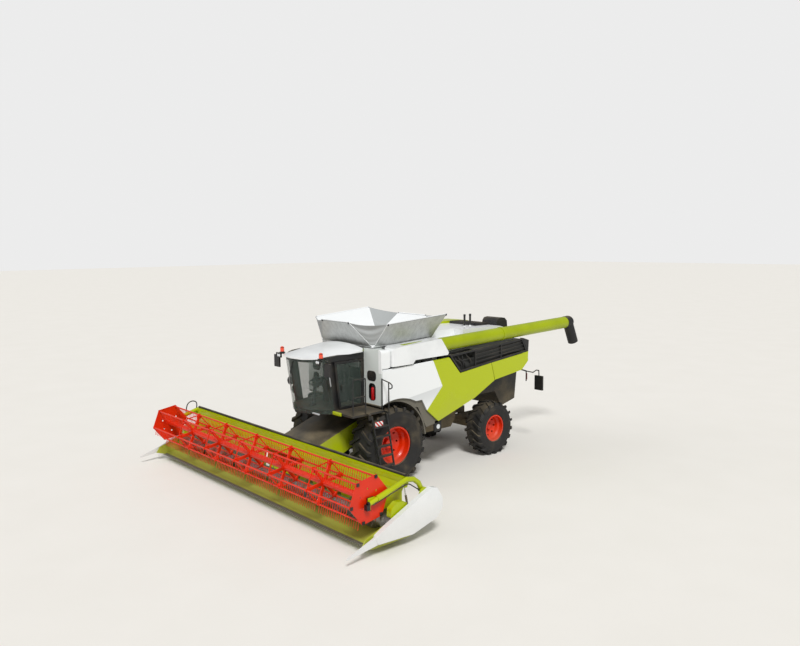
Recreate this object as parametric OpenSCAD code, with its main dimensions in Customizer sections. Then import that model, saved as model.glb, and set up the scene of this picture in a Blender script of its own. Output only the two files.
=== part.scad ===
// Combine harvester with a wide grain header, standing parked with its grain tank open.
// The front of the machine faces -Y, its left side +X and the ground is z = 0.
// Sections and outlines are given from the front axle and moved to the frame by in_frame().

/* [Machine] */
// Overall length, from the crop divider tips to the end of the unloading spout
overall_len = 12470; // [12400:10:12540]
// Distance from the front axle back to the spout's end
axle_to_spout = 8320; // [8280:10:8360]
// Distance between the front and the rear axle
wheelbase = 4030; // [4010:10:4060]
// Half width over the side panels
side_x = 1620; // [1600:5:1640]
// Half width of the inner machine body between the front wheels
body_x = 860; // [820:10:880]

/* [Wheels] */
// Front tyre: outer diameter
front_tyre_d = 2060; // [2040:10:2080]
// Front tyre: width
front_tyre_w = 800; // [760:10:820]
// Front wheel: distance of its middle from the machine's centre line
front_wheel_x = 1350; // [1340:5:1370]
// Front rim: radius over the flange
front_rim_r = 508; // [490:2:520]
// Rear tyre: outer diameter
rear_tyre_d = 1574; // [1550:2:1590]
// Rear tyre: width
rear_tyre_w = 600; // [560:10:620]
// Rear wheel: distance of its middle from the machine's centre line
rear_wheel_x = 1360; // [1350:5:1380]
// Rear rim: radius over the flange
rear_rim_r = 396; // [380:2:410]
// Kingpin: distance from the machine's centre line
kingpin_x = 1010; // [1000:5:1020]
// Lugs along one side of a front tyre
front_lugs = 20; // [16:1:22]
// Lugs along one side of a rear tyre
rear_lugs = 18; // [14:1:20]

/* [Header] */
// Overall width over the crop dividers
header_w = 9740; // [9700:10:9780]
// Height of the feeder house pivot, above the front axle
feeder_pivot_z = 1580; // [1570:5:1590]
// Half width of the feeder house
feeder_x = 800; // [760:10:820]
// Radius of the intake auger over its flights
auger_r = 250; // [240:5:255]
// Pitch of the cutterbar's guards
guard_pitch = 76.2; // [70:0.1:90]
// Radius of the circle on which the reel's tine bars sit
reel_r = 480; // [470:5:490]
// Number of tine bars on the reel
tine_bars = 6; // [6]
// Length of a tine below its bar
tine_len = 190; // [170:5:195]
// Distance between tines
tine_pitch = 150; // [140:5:180]

/* [Cab and tank] */
// Half width of the cab over its posts
cab_x = 900; // [890:5:910]
// Height of the cab floor
cab_floor_z = 2070; // [2060:5:2080]
// Height of the cab roof's lower edge
cab_roof_z = 3400; // [3390:5:3410]
// Half width of the grain tank's opening
tank_x = 1110; // [1090:5:1115]
// Height of the tank's rim, where the flaps are hinged
tank_rim_z = 3600; // [3590:5:3610]
// Length of a tank flap up its slope, at the front and rear
end_flap_len = 770; // [700:10:780]
// Length of a side flap up its slope, at its front edge
side_flap_front = 765; // [740:5:780]
// Length of a side flap up its slope, at its rear edge
side_flap_rear = 940; // [900:5:950]

/* [Unloading tube] */
// Radius of the unloading tube
tube_r = 190; // [180:5:195]
// Place of the tube's pivot, from the centre line
tube_pivot_x = 1440; // [1435:5:1445]
// Place of the tube's pivot, behind the front axle
tube_pivot_y = 180; // [170:5:190]

/* [Hidden] */
$fn = 48;
eps = 1;
front_axle_y = overall_len / 2 - axle_to_spout;
front_axle_z = front_tyre_d / 2;
rear_axle_z = rear_tyre_d / 2;
header_x = header_w / 2;

// Helpers: outlines in the side view are (y, z), in the front view (x, z), in plan (x, y)
module in_frame() translate([0, front_axle_y, 0]) children();
module both_sides() { children(); mirror([1, 0, 0]) children(); }
module side_slab(x0, x1) translate([x0, 0, 0]) rotate([90, 0, 90]) linear_extrude(x1 - x0) children();
module front_slab(y0, y1) translate([0, y1, 0]) rotate([90, 0, 0]) linear_extrude(y1 - y0) children();
module plan_slab(z0, z1) translate([0, 0, z0]) linear_extrude(z1 - z0) children();
module block(a, b) translate(a) cube(b - a);
module x_cyl(x0, x1, r, y, z) translate([x0, y, z]) rotate([0, 90, 0]) cylinder(r = r, h = x1 - x0);
module y_cyl(y0, y1, r, x, z) translate([x, y0, z]) rotate([-90, 0, 0]) cylinder(r = r, h = y1 - y0);
module rod(a, b, r) {
    d = b - a;
    translate(a) rotate([0, acos(d[2] / norm(d)), atan2(d[1], d[0])]) cylinder(r = r, h = norm(d));
}
module rounded(r) offset(r) offset(-r) children();

// Frame: two rails, the front axle beam with its final drives, and the towing clevis plate
rail_x = 300;
rail_w = 130;
axle_beam_top = 1180;
hub_face_x = front_wheel_x - 110;
hitch_y = 5150;
hitch_z = 800;
hitch_r = 20;
jack_z = 860;
module frame() color("dimgray") in_frame() {
    both_sides() {
        block([rail_x, -250, 880], [rail_x + rail_w, 4750, 1060]);
        block([rail_x, 4560, 700], [rail_x + rail_w, 4750, 900]);
        // pad for a jack or a stand
        block([rail_x + 15, 2700, jack_z], [rail_x + rail_w - 15, 2830, 881]);
        // final drive housing and hub flange of the front wheel
        x_cyl(812, 1130, 250, 0, front_axle_z);
        x_cyl(1130, hub_face_x, 190, 0, front_axle_z);
        // posts beside the feeder house and beams that carry the cab
        block([812, -150, 1100], [858, 60, 2260]);
        block([560, -1250, 1882], [640, -60, 1950]);
        block([430, -330, 560], [490, 60, 900]);
        block([610, -330, 560], [670, 60, 900]);
        block([430, -120, 840], [670, 120, 920]);
    }
    block([-858, -150, 880], [858, 150, axle_beam_top]);
    block([-858, -150, 1882], [858, -60, 1950]);
    block([-430, 4560, 740], [430, 4750, 840]);
    difference() {
        block([-110, 4740, hitch_z - 20], [110, hitch_y + 90, hitch_z + 20]);
        translate([0, hitch_y, hitch_z - 50]) cylinder(r = hitch_r, h = 100);
    }
    both_sides() x_cyl(430, 670, 24, lift_a[0], lift_a[1]);
}

// Threshing and separating body: a narrow lower case between the wheels, and a wide upper case
module separator_body() color("darkslategray") in_frame() {
    difference() {
        side_slab(-body_x, body_x) polygon([[340, 1200], [700, 1060], [1300, 900], [2900, 900],
            [3090, 1150],
            [3120, 1680], [5150, 1680], [5350, 2300], [5350, 2500], [340, 2500]]);
        both_sides() block([rail_x, 200, 800], [rail_x + rail_w, 3200, 1060]);
    }
    side_slab(-1495, 1495) polygon([[-120, 2260], [1350, 2260], [1750, 1960], [3100, 1960], [5200, 2480],
        [5400, 3000], [2060, 3000], [-120, 3000]]);
    // cooling air box behind the side grilles, open in front of them
    both_sides() difference() {
        side_slab(1080, 1560) polygon([[2120, 2990], [5455, 2990], [5290, 3360], [2120, 3185]]);
        side_slab(1300, 1600) polygon([[2250, 3010], [3150, 3010], [3150, 3400], [2250, 3400]]);
    }
    // hinge lugs over the top edge of the side doors
    both_sides() for (y = [420, 1150, 1900]) {
        z0 = hinge_front[1] + (y - hinge_front[0]) * (hinge_rear[1] - hinge_front[1])
            / (hinge_rear[0] - hinge_front[0]);
        block([1440, y - 30, 2990], [1570, y + 30, z0 + 30]);
        difference() {
            block([1560, y - 30, z0 + 3], [1592, y + 30, z0 + 30]);
            side_door_pin(10.5);
        }
    }
}

// Engine: one plain block across the machine behind the tank
module engine_block() color("gray") in_frame() block([-650, 3100, 3000], [650, 4150, 3700]);

// Engine deck: white covers stepping down to the rear, and two stacks
deck_y = [1900, 2010, 3190, 4850, 5430];
deck_z = [3560, 3780, 3790, 3760, 3600];
cover_gap = 0.5;
function deck_top(y) = deck_z[2] + (y - deck_y[2]) * (deck_z[3] - deck_z[2]) / (deck_y[3] - deck_y[2]);
module engine_deck() color("white") in_frame() {
    difference() {
        union() {
            side_slab(-1080, 1080) polygon([[deck_y[0], 3000], [5420, 3000], [5560, 3300],
                [deck_y[4], deck_z[4]], [deck_y[3], deck_z[3]], [deck_y[2], deck_z[2]],
                [deck_y[2], deck_z[0]], [deck_y[0], deck_z[0]]]);
            side_slab(-1080, 700) polygon([[deck_y[0], 3500], [deck_y[2] + 10, 3500],
                [deck_y[2] + 10, deck_top(deck_y[2] + 10)],
                [deck_y[2], deck_z[2]], [deck_y[1], deck_z[1]], [deck_y[0], deck_z[0]]]);
        }
        side_slab(-670, 670) polygon([[3080, 2990], [4170, 2990], [4170, 3720], [3080, 3720]]);
    }
    for (y = [3880, 4130]) translate([500, y, 3740]) cylinder(r = 32, h = 400);
}
// Cooler intake: a dark screen on the deck and a rounded hump behind it
module cooler_intake() color("#202020") in_frame() {
    translate([0, 0, cover_gap]) side_slab(-480, 620) polygon([[4230, deck_top(4230)],
        [4250, 3850], [4790, 3835], [4820, deck_top(4820)]]);
    hump_z = deck_z[3] + (4900 - deck_y[3]) * (deck_z[4] - deck_z[3]) / (deck_y[4] - deck_y[3]);
    translate([0, 0, cover_gap]) side_slab(300, 900) polygon([[4900, hump_z], [4930, 3890],
        [5000, 3965], [5150, 3985], [5290, 3965], [5400, 3870], [deck_y[4], deck_z[4]]]);
}

// Grain tank: an open steel hopper with a sloping floor, and the elbow of the unloading auger
tank_front_y = -280;
tank_rear_y = 1770;
tank_wall = 25;
module tank_outline(out, z0, z1) block([-tank_x + out, tank_front_y + out, z0],
    [tank_x - out, tank_rear_y - out, z1]);
module grain_tank() color("silver") in_frame() {
    difference() {
        union() {
            tank_outline(0, 3000, tank_rim_z - 17);
            both_sides() block([tank_x - tank_wall, tank_front_y, 3500],
                [tank_x, tank_rear_y, tank_rim_z - 3]);
        }
        front_slab(tank_front_y + tank_wall, tank_rear_y - tank_wall) polygon([
            [-tank_x + tank_wall, 3300], [-150, 3060], [150, 3060], [tank_x - tank_wall, 3300],
            [tank_x - tank_wall, 3700], [-tank_x + tank_wall, 3700]]);
    }
    translate([tube_pivot_x, tube_pivot_y, 3000]) cylinder(r = 120, h = 90);
}

// Tank flaps: four steel leaves, hinged on the tank's rim, which stand open and flared
flap_t = 12;
end_flare = 31;
side_flare = 35;
end_flap_base = tank_x - tank_wall - 5;
side_flap_lift = 14;
end_flap_top = 580;
side_flap_in = 110;
side_flap_out = 140;
module flap_leaf(base0, base1, top0, top1, len) linear_extrude(flap_t)
    polygon([[base0, 10], [base1, 10], [top1, len], [top0, len]]);
module end_flap() {
    rotate([90 + end_flare, 0, 0]) translate([0, 0, -flap_t / 2])
        flap_leaf(-end_flap_base, end_flap_base, -end_flap_top, end_flap_top, end_flap_len);
    // hinge tube, short of the corners, where the side flaps fold over it
    x_cyl(-end_flap_base + 60, end_flap_base - 60, 16, 0, 0);
}
module side_flap() {
    rotate([0, side_flare - 90, 0]) rotate([0, 0, 90]) mirror([0, 0, 1]) translate([0, 0, -flap_t / 2])
        mirror([0, 1, 0]) linear_extrude(flap_t) polygon([[tank_front_y + 10, 10], [tank_rear_y - 10, 10],
            [tank_rear_y + side_flap_out, side_flap_rear], [tank_front_y + side_flap_in, side_flap_front]]);
    y_cyl(tank_front_y + 10, tank_rear_y - 10, 16, 0, 0);
}
module tank_flap_front() color("silver") in_frame() translate([0, tank_front_y, tank_rim_z]) end_flap();
module tank_flap_rear() color("silver") in_frame() translate([0, tank_rear_y, tank_rim_z])
    mirror([0, 1, 0]) end_flap();
module tank_flap_left() color("silver") in_frame() translate([tank_x + 20, 0, tank_rim_z + side_flap_lift])
    side_flap();
module tank_flap_right() mirror([1, 0, 0]) tank_flap_left();
// Gussets: cloth triangles that close the four corners between the open flaps
cloth_gap = 40;
function end_edge(t, y0, d) = [
    end_flap_base - (end_flap_base - end_flap_top) * t / end_flap_len + cloth_gap,
    y0 + d * t * sin(end_flare), tank_rim_z + t * cos(end_flare)];
function side_edge(t, y0, d, out, len) = [tank_x + 20 + t * sin(side_flare),
    y0 - 10 * d + d * t * out / len + d * cloth_gap / 2, tank_rim_z + side_flap_lift + t * cos(side_flare)];
module cloth_triangle(a, b, c, t) {
    n = cross(b - a, c - a) / norm(cross(b - a, c - a)) * t;
    polyhedron(points = [a, b, c, a + n, b + n, c + n],
        faces = [[0, 1, 2], [5, 4, 3], [0, 3, 4, 1], [1, 4, 5, 2], [2, 5, 3, 0]]);
}
module corner_gusset(y0, d, out, len) cloth_triangle(
    (end_edge(70, y0, d) + side_edge(70, y0, d, out, len)) / 2,
    end_edge(740, y0, d), side_edge(len - 30, y0, d, out, len), 6);
module tank_gussets() color("gray") in_frame() both_sides() {
    corner_gusset(tank_front_y, -1, -side_flap_in, side_flap_front);
    corner_gusset(tank_rear_y, 1, side_flap_out, side_flap_rear);
}

// Cab: floor, rear wall, posts and roof ring of dark steel
screen_r = 980;
screen_y = -900;
screen_lean = -8;
module screen_cyl(r) translate([0, screen_y, cab_floor_z]) rotate([-screen_lean, 0, 0])
    translate([0, 0, -200]) cylinder(r = r, h = 1900);
roof_under = [[-2140, 3395], [-1880, 3398], [-1640, 3440], [-1250, 3476], [-420, 3492]];
module cab_frame() color("dimgray") in_frame() {
    intersection() {
        block([-cab_x, -2200, cab_floor_z - 120], [cab_x, -330, cab_floor_z]);
        union() { screen_cyl(screen_r - 12); block([-cab_x, -900, 1900], [cab_x, -330, 2200]); }
    }
    difference() {
        block([-cab_x, -380, cab_floor_z - eps], [cab_x, -330, cab_roof_z]);
        block([-650, -400, 2700], [650, -300, 3250]);
    }
    both_sides() {
        intersection() {
            difference() { screen_cyl(screen_r - 14); screen_cyl(screen_r - 80); }
            block([790, -2000, cab_floor_z - eps], [865, -1100, cab_roof_z - 40]);
        }
        block([cab_x - 60, -450, cab_floor_z - eps], [cab_x, -370, cab_roof_z - 40]);
    }
    difference() {
        intersection() {
            side_slab(-cab_x, cab_x) polygon([[-2300, cab_roof_z - 80], [-330, cab_roof_z - 80],
                [-330, 3490],
                roof_under[4], roof_under[3], roof_under[2], roof_under[1], roof_under[0], [-2300, 3395]]);
            union() { screen_cyl(screen_r - 12); block([-cab_x, -1200, 3200], [cab_x, -330, 3600]); }
        }
        block([-cab_x + 80, -1500, cab_roof_z - 100], [cab_x - 80, -430, cab_roof_z + 200]);
    }
    // hinge brackets and pins of the door
    for (z = door_hinge_z) {
        translate([door_hinge[0], door_hinge[1], z - 60]) cylinder(r = 8, h = 120);
        for (dz = [-62, 46]) block([cab_x - eps, -496, z + dz], [door_hinge[0] + 10, -464, z + dz + 16]);
        block([cab_x - 20, -496, z - 62], [cab_x + 1, -440, z + 62]);
    }
}
module cab_glass() color([0.3, 0.35, 0.35, 0.5]) in_frame() {
    intersection() {
        difference() { screen_cyl(screen_r); screen_cyl(screen_r - 8); }
        block([-cab_x + 50, -2300, cab_floor_z - 100], [cab_x - 50, -1250, cab_roof_z - 5]);
    }
    side_slab(-cab_x + 6, -cab_x + 14) polygon([[-1300, cab_floor_z + 5], [-455, cab_floor_z + 5],
        [-455, cab_roof_z - 85], [-1440, cab_roof_z - 85]]);
}
roof_rise = 7.6;
module cab_roof() color("white") in_frame() intersection() {
    side_slab(-1100, 1100) polygon(concat(roof_under, [[-420, 3900], [-2140, 3900]]));
    plan_slab(3300, 3900) rounded(120) polygon([[-420, -2060], [0, -2115], [420, -2060],
        [930, -1640], [1000, -1300],
        [950, -440], [-950, -440], [-1000, -1300], [-930, -1640]]);
    translate([0, -420, 3665]) rotate([roof_rise, 0, 0]) y_cyl(-1900, 300, 4500, 0, -4500, $fn = 360);
}
// Seat, steering column with its wheel, and the arm console
module cab_interior() color("dimgray") in_frame() {
    block([-250, -900, cab_floor_z], [250, -480, cab_floor_z + 380]);
    block([-260, -950, cab_floor_z + 380], [260, -450, cab_floor_z + 500]);
    side_slab(-240, 240) rounded(40) polygon([[-560, 2560], [-430, 2560], [-385, 3200], [-470, 3200]]);
    rod([0, -1450, cab_floor_z + 14], [0, -1330, cab_floor_z + 640], 45);
    translate([0, -1330, cab_floor_z + 640]) rotate([20, 0, 0]) rotate_extrude()
        translate([190, 0]) circle(16);
    translate([0, -1330, cab_floor_z + 640]) rotate([20, 0, 0]) cylinder(r = 60, h = 30);
    block([-430, -1150, cab_floor_z + 420], [-300, -550, cab_floor_z + 640]);
    block([-420, -800, cab_floor_z], [-310, -600, cab_floor_z + 440]);
    block([-70, -1520, cab_floor_z], [70, -1380, cab_floor_z + 30]);
}

// Platform beside the cab, with its handrails
module bent_rail(points, r) for (i = [1:len(points) - 1]) {
    rod(points[i - 1], points[i], r);
    if (i < len(points) - 1) translate(points[i]) sphere(r = r + 1);
}
module platform() color("dimgray") in_frame() {
    block([cab_x + 2, -1490, 2010], [1730, -440, 2060]);
    block([1720, -1040, 2010], [1820, -960, 2060]);
    block([1720, -450, 2010], [1905, -410, 2050]);
    translate([ladder_hinge[0], ladder_hinge[1], 1890]) cylinder(r = 15, h = 150);
    for (y = [-1440, -1040]) rod([1690, y, 2050], [1690, y, 2950], 17);
    rod([1690, -1440, 2950], [1690, -1040, 2950], 18);
    rod([1690, -1440, 2500], [1690, -1040, 2500], 16);
    rod([1650, -455, 2050], [1650, -455, 2870], 17);
    bent_rail([[1650, -455, 2850], [1930, -430, 2790], [2010, -430, 2740], [2010, -430, 2680],
        [1940, -430, 2640],
        [1880, -430, 2640]], 15);
    rod([1880, -430, 2045], [1880, -430, 2800], 16);
}

// Service boxes beside the tank: grey front with an oval louvre and the extinguisher's bay
service_x = 1600;
// clear of the fairing's front corner as it swings out with the tube
fairing_swing_r = 352;
module service_box(top) difference() {
    intersection() {
        union() {
            side_slab(cab_x + 3, service_x) polygon([[-430, 2075], [-320, 2075], [-320, top - 20],
                [-430, top]]);
            side_slab(1130, service_x) polygon([[-330, 2130], [-121, 2265], [-121, 3010], [-330, 3010]]);
            plan_slab(3001, top - 20) difference() {
                translate([1130, -330]) square([service_x - 1130, 320]);
                translate([tube_pivot_x, tube_pivot_y]) circle(fairing_swing_r);
            }
        }
        front_slab(-500, 100) rounded(110) polygon([[500, 1500], [service_x, 1500],
            [service_x, top], [500, top]]);
    }
    block([1500, -340, 2000], [1700, 0, 3000]);
    block([1562, -412, 2000], [1700, 0, 3102]);
    x_cyl(800, 1700, 1191, 0, front_axle_z, $fn = 180);
    block([850, -340, 2000], [905, 0, 3600]);
    front_slab(-440, -350) rounded(110) polygon([[1090, 2230], [1370, 2230], [1370, 2690], [1090, 2690]]);
    front_slab(-440, -390) rounded(80) polygon([[1070, 2770], [1370, 2770], [1370, 2990], [1070, 2990]]);
}
module service_boxes() color("lightgray") in_frame() {
    service_box(3590);
    mirror([1, 0, 0]) service_box(3390);
}

module mirrors() color("black") in_frame() {
    both_sides() {
        rod([905, -1690, 3380], [1150, -1790, 3390], 15);
        rod([1150, -1790, 3400], [1150, -1790, 3330], 14);
        block([1010, -1800, 3010], [1260, -1760, 3340]);
    }
    // round mirrors on the right-hand corner post
    for (m = [[-1340, 2560], [-1200, 2300]]) {
        rod([-cab_x + 3, m[0] + 40, m[1]], [-1170, m[0], m[1]], 12);
        y_cyl(m[0] - 30, m[0] + 25, 105, -1190, m[1]);
    }
}
// Lamps: beacons and work lights at the roof's front corners, and the rear lamps on their hooked brackets
module lamps() color("orange") in_frame() both_sides() {
    translate([870, -1790, 3440]) cylinder(r = 50, h = 130);
    block([810, -1850, 3415], [925, -1735, 3441]);
    block([800, -1900, 3300], [940, -1850, 3420]);
    rod([1320, 5440, 2390], [1370, 5800, 2270], 22);
    rod([1370, 5800, 2290], [1370, 5800, 1950], 18);
    bent_rail([[1370, 5800, 2270], [1600, 5850, 2250], [1700, 5880, 2330], [1790, 5890, 2330],
        [1800, 5890, 2160]], 16);
    block([1650, 5860, 1715], [1950, 5920, 2165]);
}

// Wheel arches: curved guards over the front wheels
module wheel_arches() color("dimgray") in_frame() both_sides() {
    side_slab(905, 1560) intersection() {
        translate([0, front_axle_z]) difference() { circle(1190, $fn = 180); circle(1150, $fn = 180); }
        polygon([[0, front_axle_z], [-640, 2600], [2300, 2600], [2300, 1200]]);
    }
    side_slab(1500, 1560) difference() {
        polygon([[-312, 2130], [-312, 2260], [900, 2260], [1700, 1800], [1660, 1360], [1200, 1300],
            [900, 1900]]);
        translate([0, front_axle_z]) circle(1170, $fn = 180);
    }
    block([905, -60, 2190], [1490, 60, 2260]);
}

// Side doors: large panels hinged along the top, white in front and lime behind
door_t = 45;
hinge_front = [-400, 3050];
hinge_rear = [2060, 3130];
hinge_x = 1590;
door_arch = [117, 834];
door_arch_r = 1423;
module door_outline() difference() {
    polygon([hinge_front - [6, 4], hinge_rear + [7, -4], [2500, 2640], [3830, 2783], [3985, 2250],
        [3120, 1850], [1620, 1410], [1180, 1780], [1000, 2100], [-406, 2100]]);
    translate(door_arch) circle(door_arch_r);
}
module side_door_pin(r)
    rod([hinge_x, hinge_front[0], hinge_front[1]], [hinge_x, hinge_rear[0], hinge_rear[1]], r);
module side_door_left() color("yellowgreen") in_frame() {
    side_slab(side_x - door_t, side_x) door_outline();
    side_door_pin(10);
}
module side_door_right() mirror([1, 0, 0]) side_door_left();

// Rear hood: lime side panels, the rear face and the roof edge of the machine's body
module rear_hood() color("yellowgreen") in_frame() {
    both_sides() side_slab(side_x - door_t, side_x) polygon([[3850, 2780], [4005, 2260], [5270, 2410],
        [5570, 2660], [5540, 2935], [3850, 2785]]);
    // long cover along the right edge of the engine deck
    side_slab(-1080, -560) polygon([[2300, 3783], [2330, 3850], [4750, 3840], [5200, 3790],
        [deck_y[4], deck_z[4] + 2],
        [deck_y[4], deck_z[4]], [deck_y[3], deck_z[3]], [deck_y[2], deck_z[2]]]);
    both_sides() side_slab(1510, side_x - 5) polygon([[5300, 2425], [5560, 2660],
        [5600, 3300], [5335, 3385], [5300, 3381], [5540, 2944], [5300, 2924]]);
    side_slab(-1510, 1510) polygon([[5420, 2420], [5660, 2700], [5600, 3300], [5570, 3300], [5420, 2700]]);
}

// Side grilles: slatted air intakes of the cooler, above the doors
module side_grilles() color("black") in_frame() both_sides() {
    difference() {
        side_slab(side_x - 60, side_x - 5) grille_outline();
        side_slab(side_x - 80, side_x + 5) offset(-50) grille_outline();
    }
    intersection() {
        side_slab(side_x - 50, side_x - 20) grille_outline();
        union() {
            intersection() {
                block([side_x - 60, 3170, 2500], [side_x, 5600, 3500]);
                for (k = [0:6]) side_slab(side_x - 45, side_x - 25)
                    polygon([[2000, 2655 + 105 * k], [5600, 2975 + 105 * k],
                        [5600, 3003 + 105 * k], [2000, 2683 + 105 * k]]);
            }
            for (y = [3150, 4280]) block([side_x - 50, y, 2500], [side_x - 20, y + 40, 3500]);
        }
    }
}
module grille_outline() polygon([[2080, 3190], [2520, 2660], [5530, 2950], [5290, 3380]]);

// Straw chopper: a housing under the rear hood that opens to the ground
module straw_chopper() color("dimgray") in_frame() difference() {
    side_slab(-780, 780) polygon([[4950, 1680], [5300, 1150], [5950, 1300], [6050, 2150],
        [5400, 2400], [5355, 2300], [5152, 1680]]);
    side_slab(-740, 740) polygon([[5100, 1500], [5340, 1100], [5900, 1200], [5960, 2050], [5500, 2200]]);
}

// Rear axle: a box beam that carries the steering knuckles at its ends
module rear_axle() color("dimgray") in_frame() translate([0, wheelbase, rear_axle_z]) {
    block([-880, -110, -110], [880, 110, 90]);
    both_sides() difference() {
        block([860, -90, -150], [kingpin_x + 70, 90, 150]);
        block([940, -100, -95], [kingpin_x + 100, 100, 95]);
        translate([kingpin_x, 0, -200]) cylinder(r = 36, h = 400);
    }
    block([-430, -90, 80], [430, 90, 93]);
}
module knuckle_left() color("dimgray") in_frame() translate([kingpin_x, wheelbase, rear_axle_z]) {
    cylinder(r = 35.5, h = 320, center = true);
    cylinder(r = 65, h = 180, center = true);
    x_cyl(30, 190, 60, 0, 0);
    x_cyl(190, 240, 130, 0, 0);
}
module knuckle_right() mirror([1, 0, 0]) knuckle_left();

// Tyres: a carcass revolved about the axle, with angled lugs in two staggered rows
module tyre_profile(r, w, rim_r, lug_h) polygon([[rim_r - 25, -w * 0.36], [rim_r + 2, -w * 0.36],
    [rim_r + 15, -w * 0.41],
    [(rim_r + r) / 2, -w * 0.5], [r - lug_h * 2.4, -w * 0.47], [r - lug_h, -w * 0.36],
    [r - lug_h, w * 0.36], [r - lug_h * 2.4, w * 0.47], [(rim_r + r) / 2, w * 0.5],
    [rim_r + 15, w * 0.41], [rim_r + 2, w * 0.36], [rim_r - 25, w * 0.36]]);
module tread_profile(r, w, lug_h) polygon([[r - lug_h * 2.6, -w * 0.48], [r - lug_h * 1.2, -w * 0.485],
    [r, -w * 0.44], [r, w * 0.44], [r - lug_h * 1.2, w * 0.485], [r - lug_h * 2.6, w * 0.48]]);
module tyre(d, w, rim_r, lugs, lug_h, lug_w) rotate([0, 90, 0]) {
    r = d / 2;
    rotate_extrude() tyre_profile(r, w, rim_r, lug_h);
    intersection() {
        rotate_extrude() tread_profile(r, w, lug_h);
        for (k = [0:lugs - 1], side = [-1, 1]) rotate([0, 0, 360 * (k + side / 4) / lugs])
            rotate([0, 90, 0]) translate([0, 0, r - lug_h * 2.8]) linear_extrude(lug_h * 3)
                polygon([[side * 10, -lug_w * 0.5 - 0.12 * w], [side * 10, lug_w * 0.5 - 0.12 * w],
                    [side * w * 0.5, lug_w * 0.9 + 0.16 * w], [side * w * 0.5, -lug_w * 0.7 + 0.16 * w]]);
    }
}
// Rims: a deep dished steel disc with a wheel well, wheel nuts and a hub cap
module rim(rim_r, w, dish_x, hub_r, hub_len) rotate([0, 90, 0]) {
    bead = w * 0.36;
    seat = rim_r - 25.3;
    difference() {
        rotate_extrude() polygon([[seat - 14, -bead - 14], [rim_r, -bead - 14], [rim_r, -bead - 1],
            [seat, -bead - 1],
            [seat, -bead * 0.75], [seat - 45, -bead * 0.6], [seat - 45, bead * 0.3], [seat, bead * 0.5],
            [seat, bead + 1], [rim_r, bead + 1], [rim_r, bead + 14], [seat - 14, bead + 14],
            [seat - 14, bead * 0.5], [seat - 59, bead * 0.3], [seat - 80, dish_x + 70],
                [hub_r + 50, dish_x],
            [0, dish_x], [0, dish_x - 25], [hub_r + 50, dish_x - 25], [seat - 62, dish_x + 35],
            [seat - 59, -bead * 0.6], [seat - 14, -bead * 0.75]]);
        for (k = [0:7]) rotate([0, 0, 45 * k]) translate([rim_r * 0.66, 0, -w]) cylinder(r = 30, h = 2 * w);
    }
    for (k = [0:9]) rotate([0, 0, 36 * k]) translate([hub_r, 0, dish_x - eps]) cylinder(r = 16, h = 30);
    translate([0, 0, dish_x - eps]) cylinder(r = hub_r * 0.62, h = hub_len);
}
module at_front_wheel() in_frame() translate([front_wheel_x, 0, front_axle_z]) children();
module at_rear_wheel() in_frame() translate([rear_wheel_x, wheelbase, rear_axle_z]) children();
module front_tyre_left() color("#202020") at_front_wheel()
    tyre(front_tyre_d, front_tyre_w, front_rim_r, front_lugs, 50, 60);
module front_rim_left() color("orangered") at_front_wheel()
    rim(front_rim_r, front_tyre_w, -80, 190, 130);
module rear_tyre_left() color("#202020") at_rear_wheel()
    tyre(rear_tyre_d, rear_tyre_w, rear_rim_r, rear_lugs, 42, 50);
module rear_rim_left() color("orangered") at_rear_wheel()
    rim(rear_rim_r, rear_tyre_w, -80, 120, 90);
module front_tyre_right() mirror([1, 0, 0]) front_tyre_left();
module front_rim_right() mirror([1, 0, 0]) front_rim_left();
module rear_tyre_right() mirror([1, 0, 0]) rear_tyre_left();
module rear_rim_right() mirror([1, 0, 0]) rear_rim_left();

// Cab door: a dark frame with one large pane, hinged at its rear edge
module door_shape() polygon([[-500, cab_floor_z + 10], [-1270, cab_floor_z + 10],
    [-1420, cab_roof_z - 90], [-500, cab_roof_z - 90]]);
door_hinge = [920, -480];
door_hinge_z = [2250, 3150];
module cab_door() color("black") in_frame() {
    side_slab(cab_x + 5, cab_x + 35) difference() { door_shape(); offset(-55) door_shape(); }
    block([cab_x + 34, -1225, 2560], [cab_x + 60, -1190, 2700]);
    for (z = door_hinge_z) difference() {
        translate([door_hinge[0], door_hinge[1], z - 40]) cylinder(r = 16, h = 80);
        translate([door_hinge[0], door_hinge[1], z - 50]) cylinder(r = 8.5, h = 100);
    }
}
module cab_door_glass() color([0.3, 0.35, 0.35, 0.5]) in_frame()
    side_slab(cab_x + 16, cab_x + 24) offset(-55.2) door_shape();

// Unloading tube: folded back along the machine, with a white fairing over its elbow and a rubber spout
tube_rise = atan2(180, 5880);
tube_z0 = 3445;
tube_x = 1460;
spout_lean = 65;
spout_r = 165;
tube_end_y = 7850;
function tube_point(y) = [tube_x, y, tube_z0 + y * tan(tube_rise)];
module unloading_tube() color("yellowgreen") in_frame() {
    rod(tube_point(420), tube_point(tube_end_y - 205), tube_r);
    rod(tube_point(4380), tube_point(4460), tube_r + 14);
}
module tube_fairing() color("white") in_frame() difference() {
    intersection() {
        side_slab(1135, 1665) rounded(60) polygon([[-140, 3124], [640, 3122], [720, 3218], [2040, 3228],
            [1700, 3700], [180, 3617], [-40, 3588], [-140, 3490]]);
        // the front corner stays inside the circle that clears the tank and the service box
        plan_slab(3000, 4000) translate([tube_pivot_x, tube_pivot_y]) polygon([[-285, 2020], [-285, 0],
            [-250, -90], [-150, -220], [0, -312], [80, -302], [200, -268], [223, -240], [223, 2020]]);
    }
    // room for the open side flap
    front_slab(-400, 2500) polygon([[1000, 3560], [1156, 3560], [1156, 3605], [1300, 3810], [1000, 3810]]);
    rod(tube_point(419.7), tube_point(3000), tube_r + 0.3);
}
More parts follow.
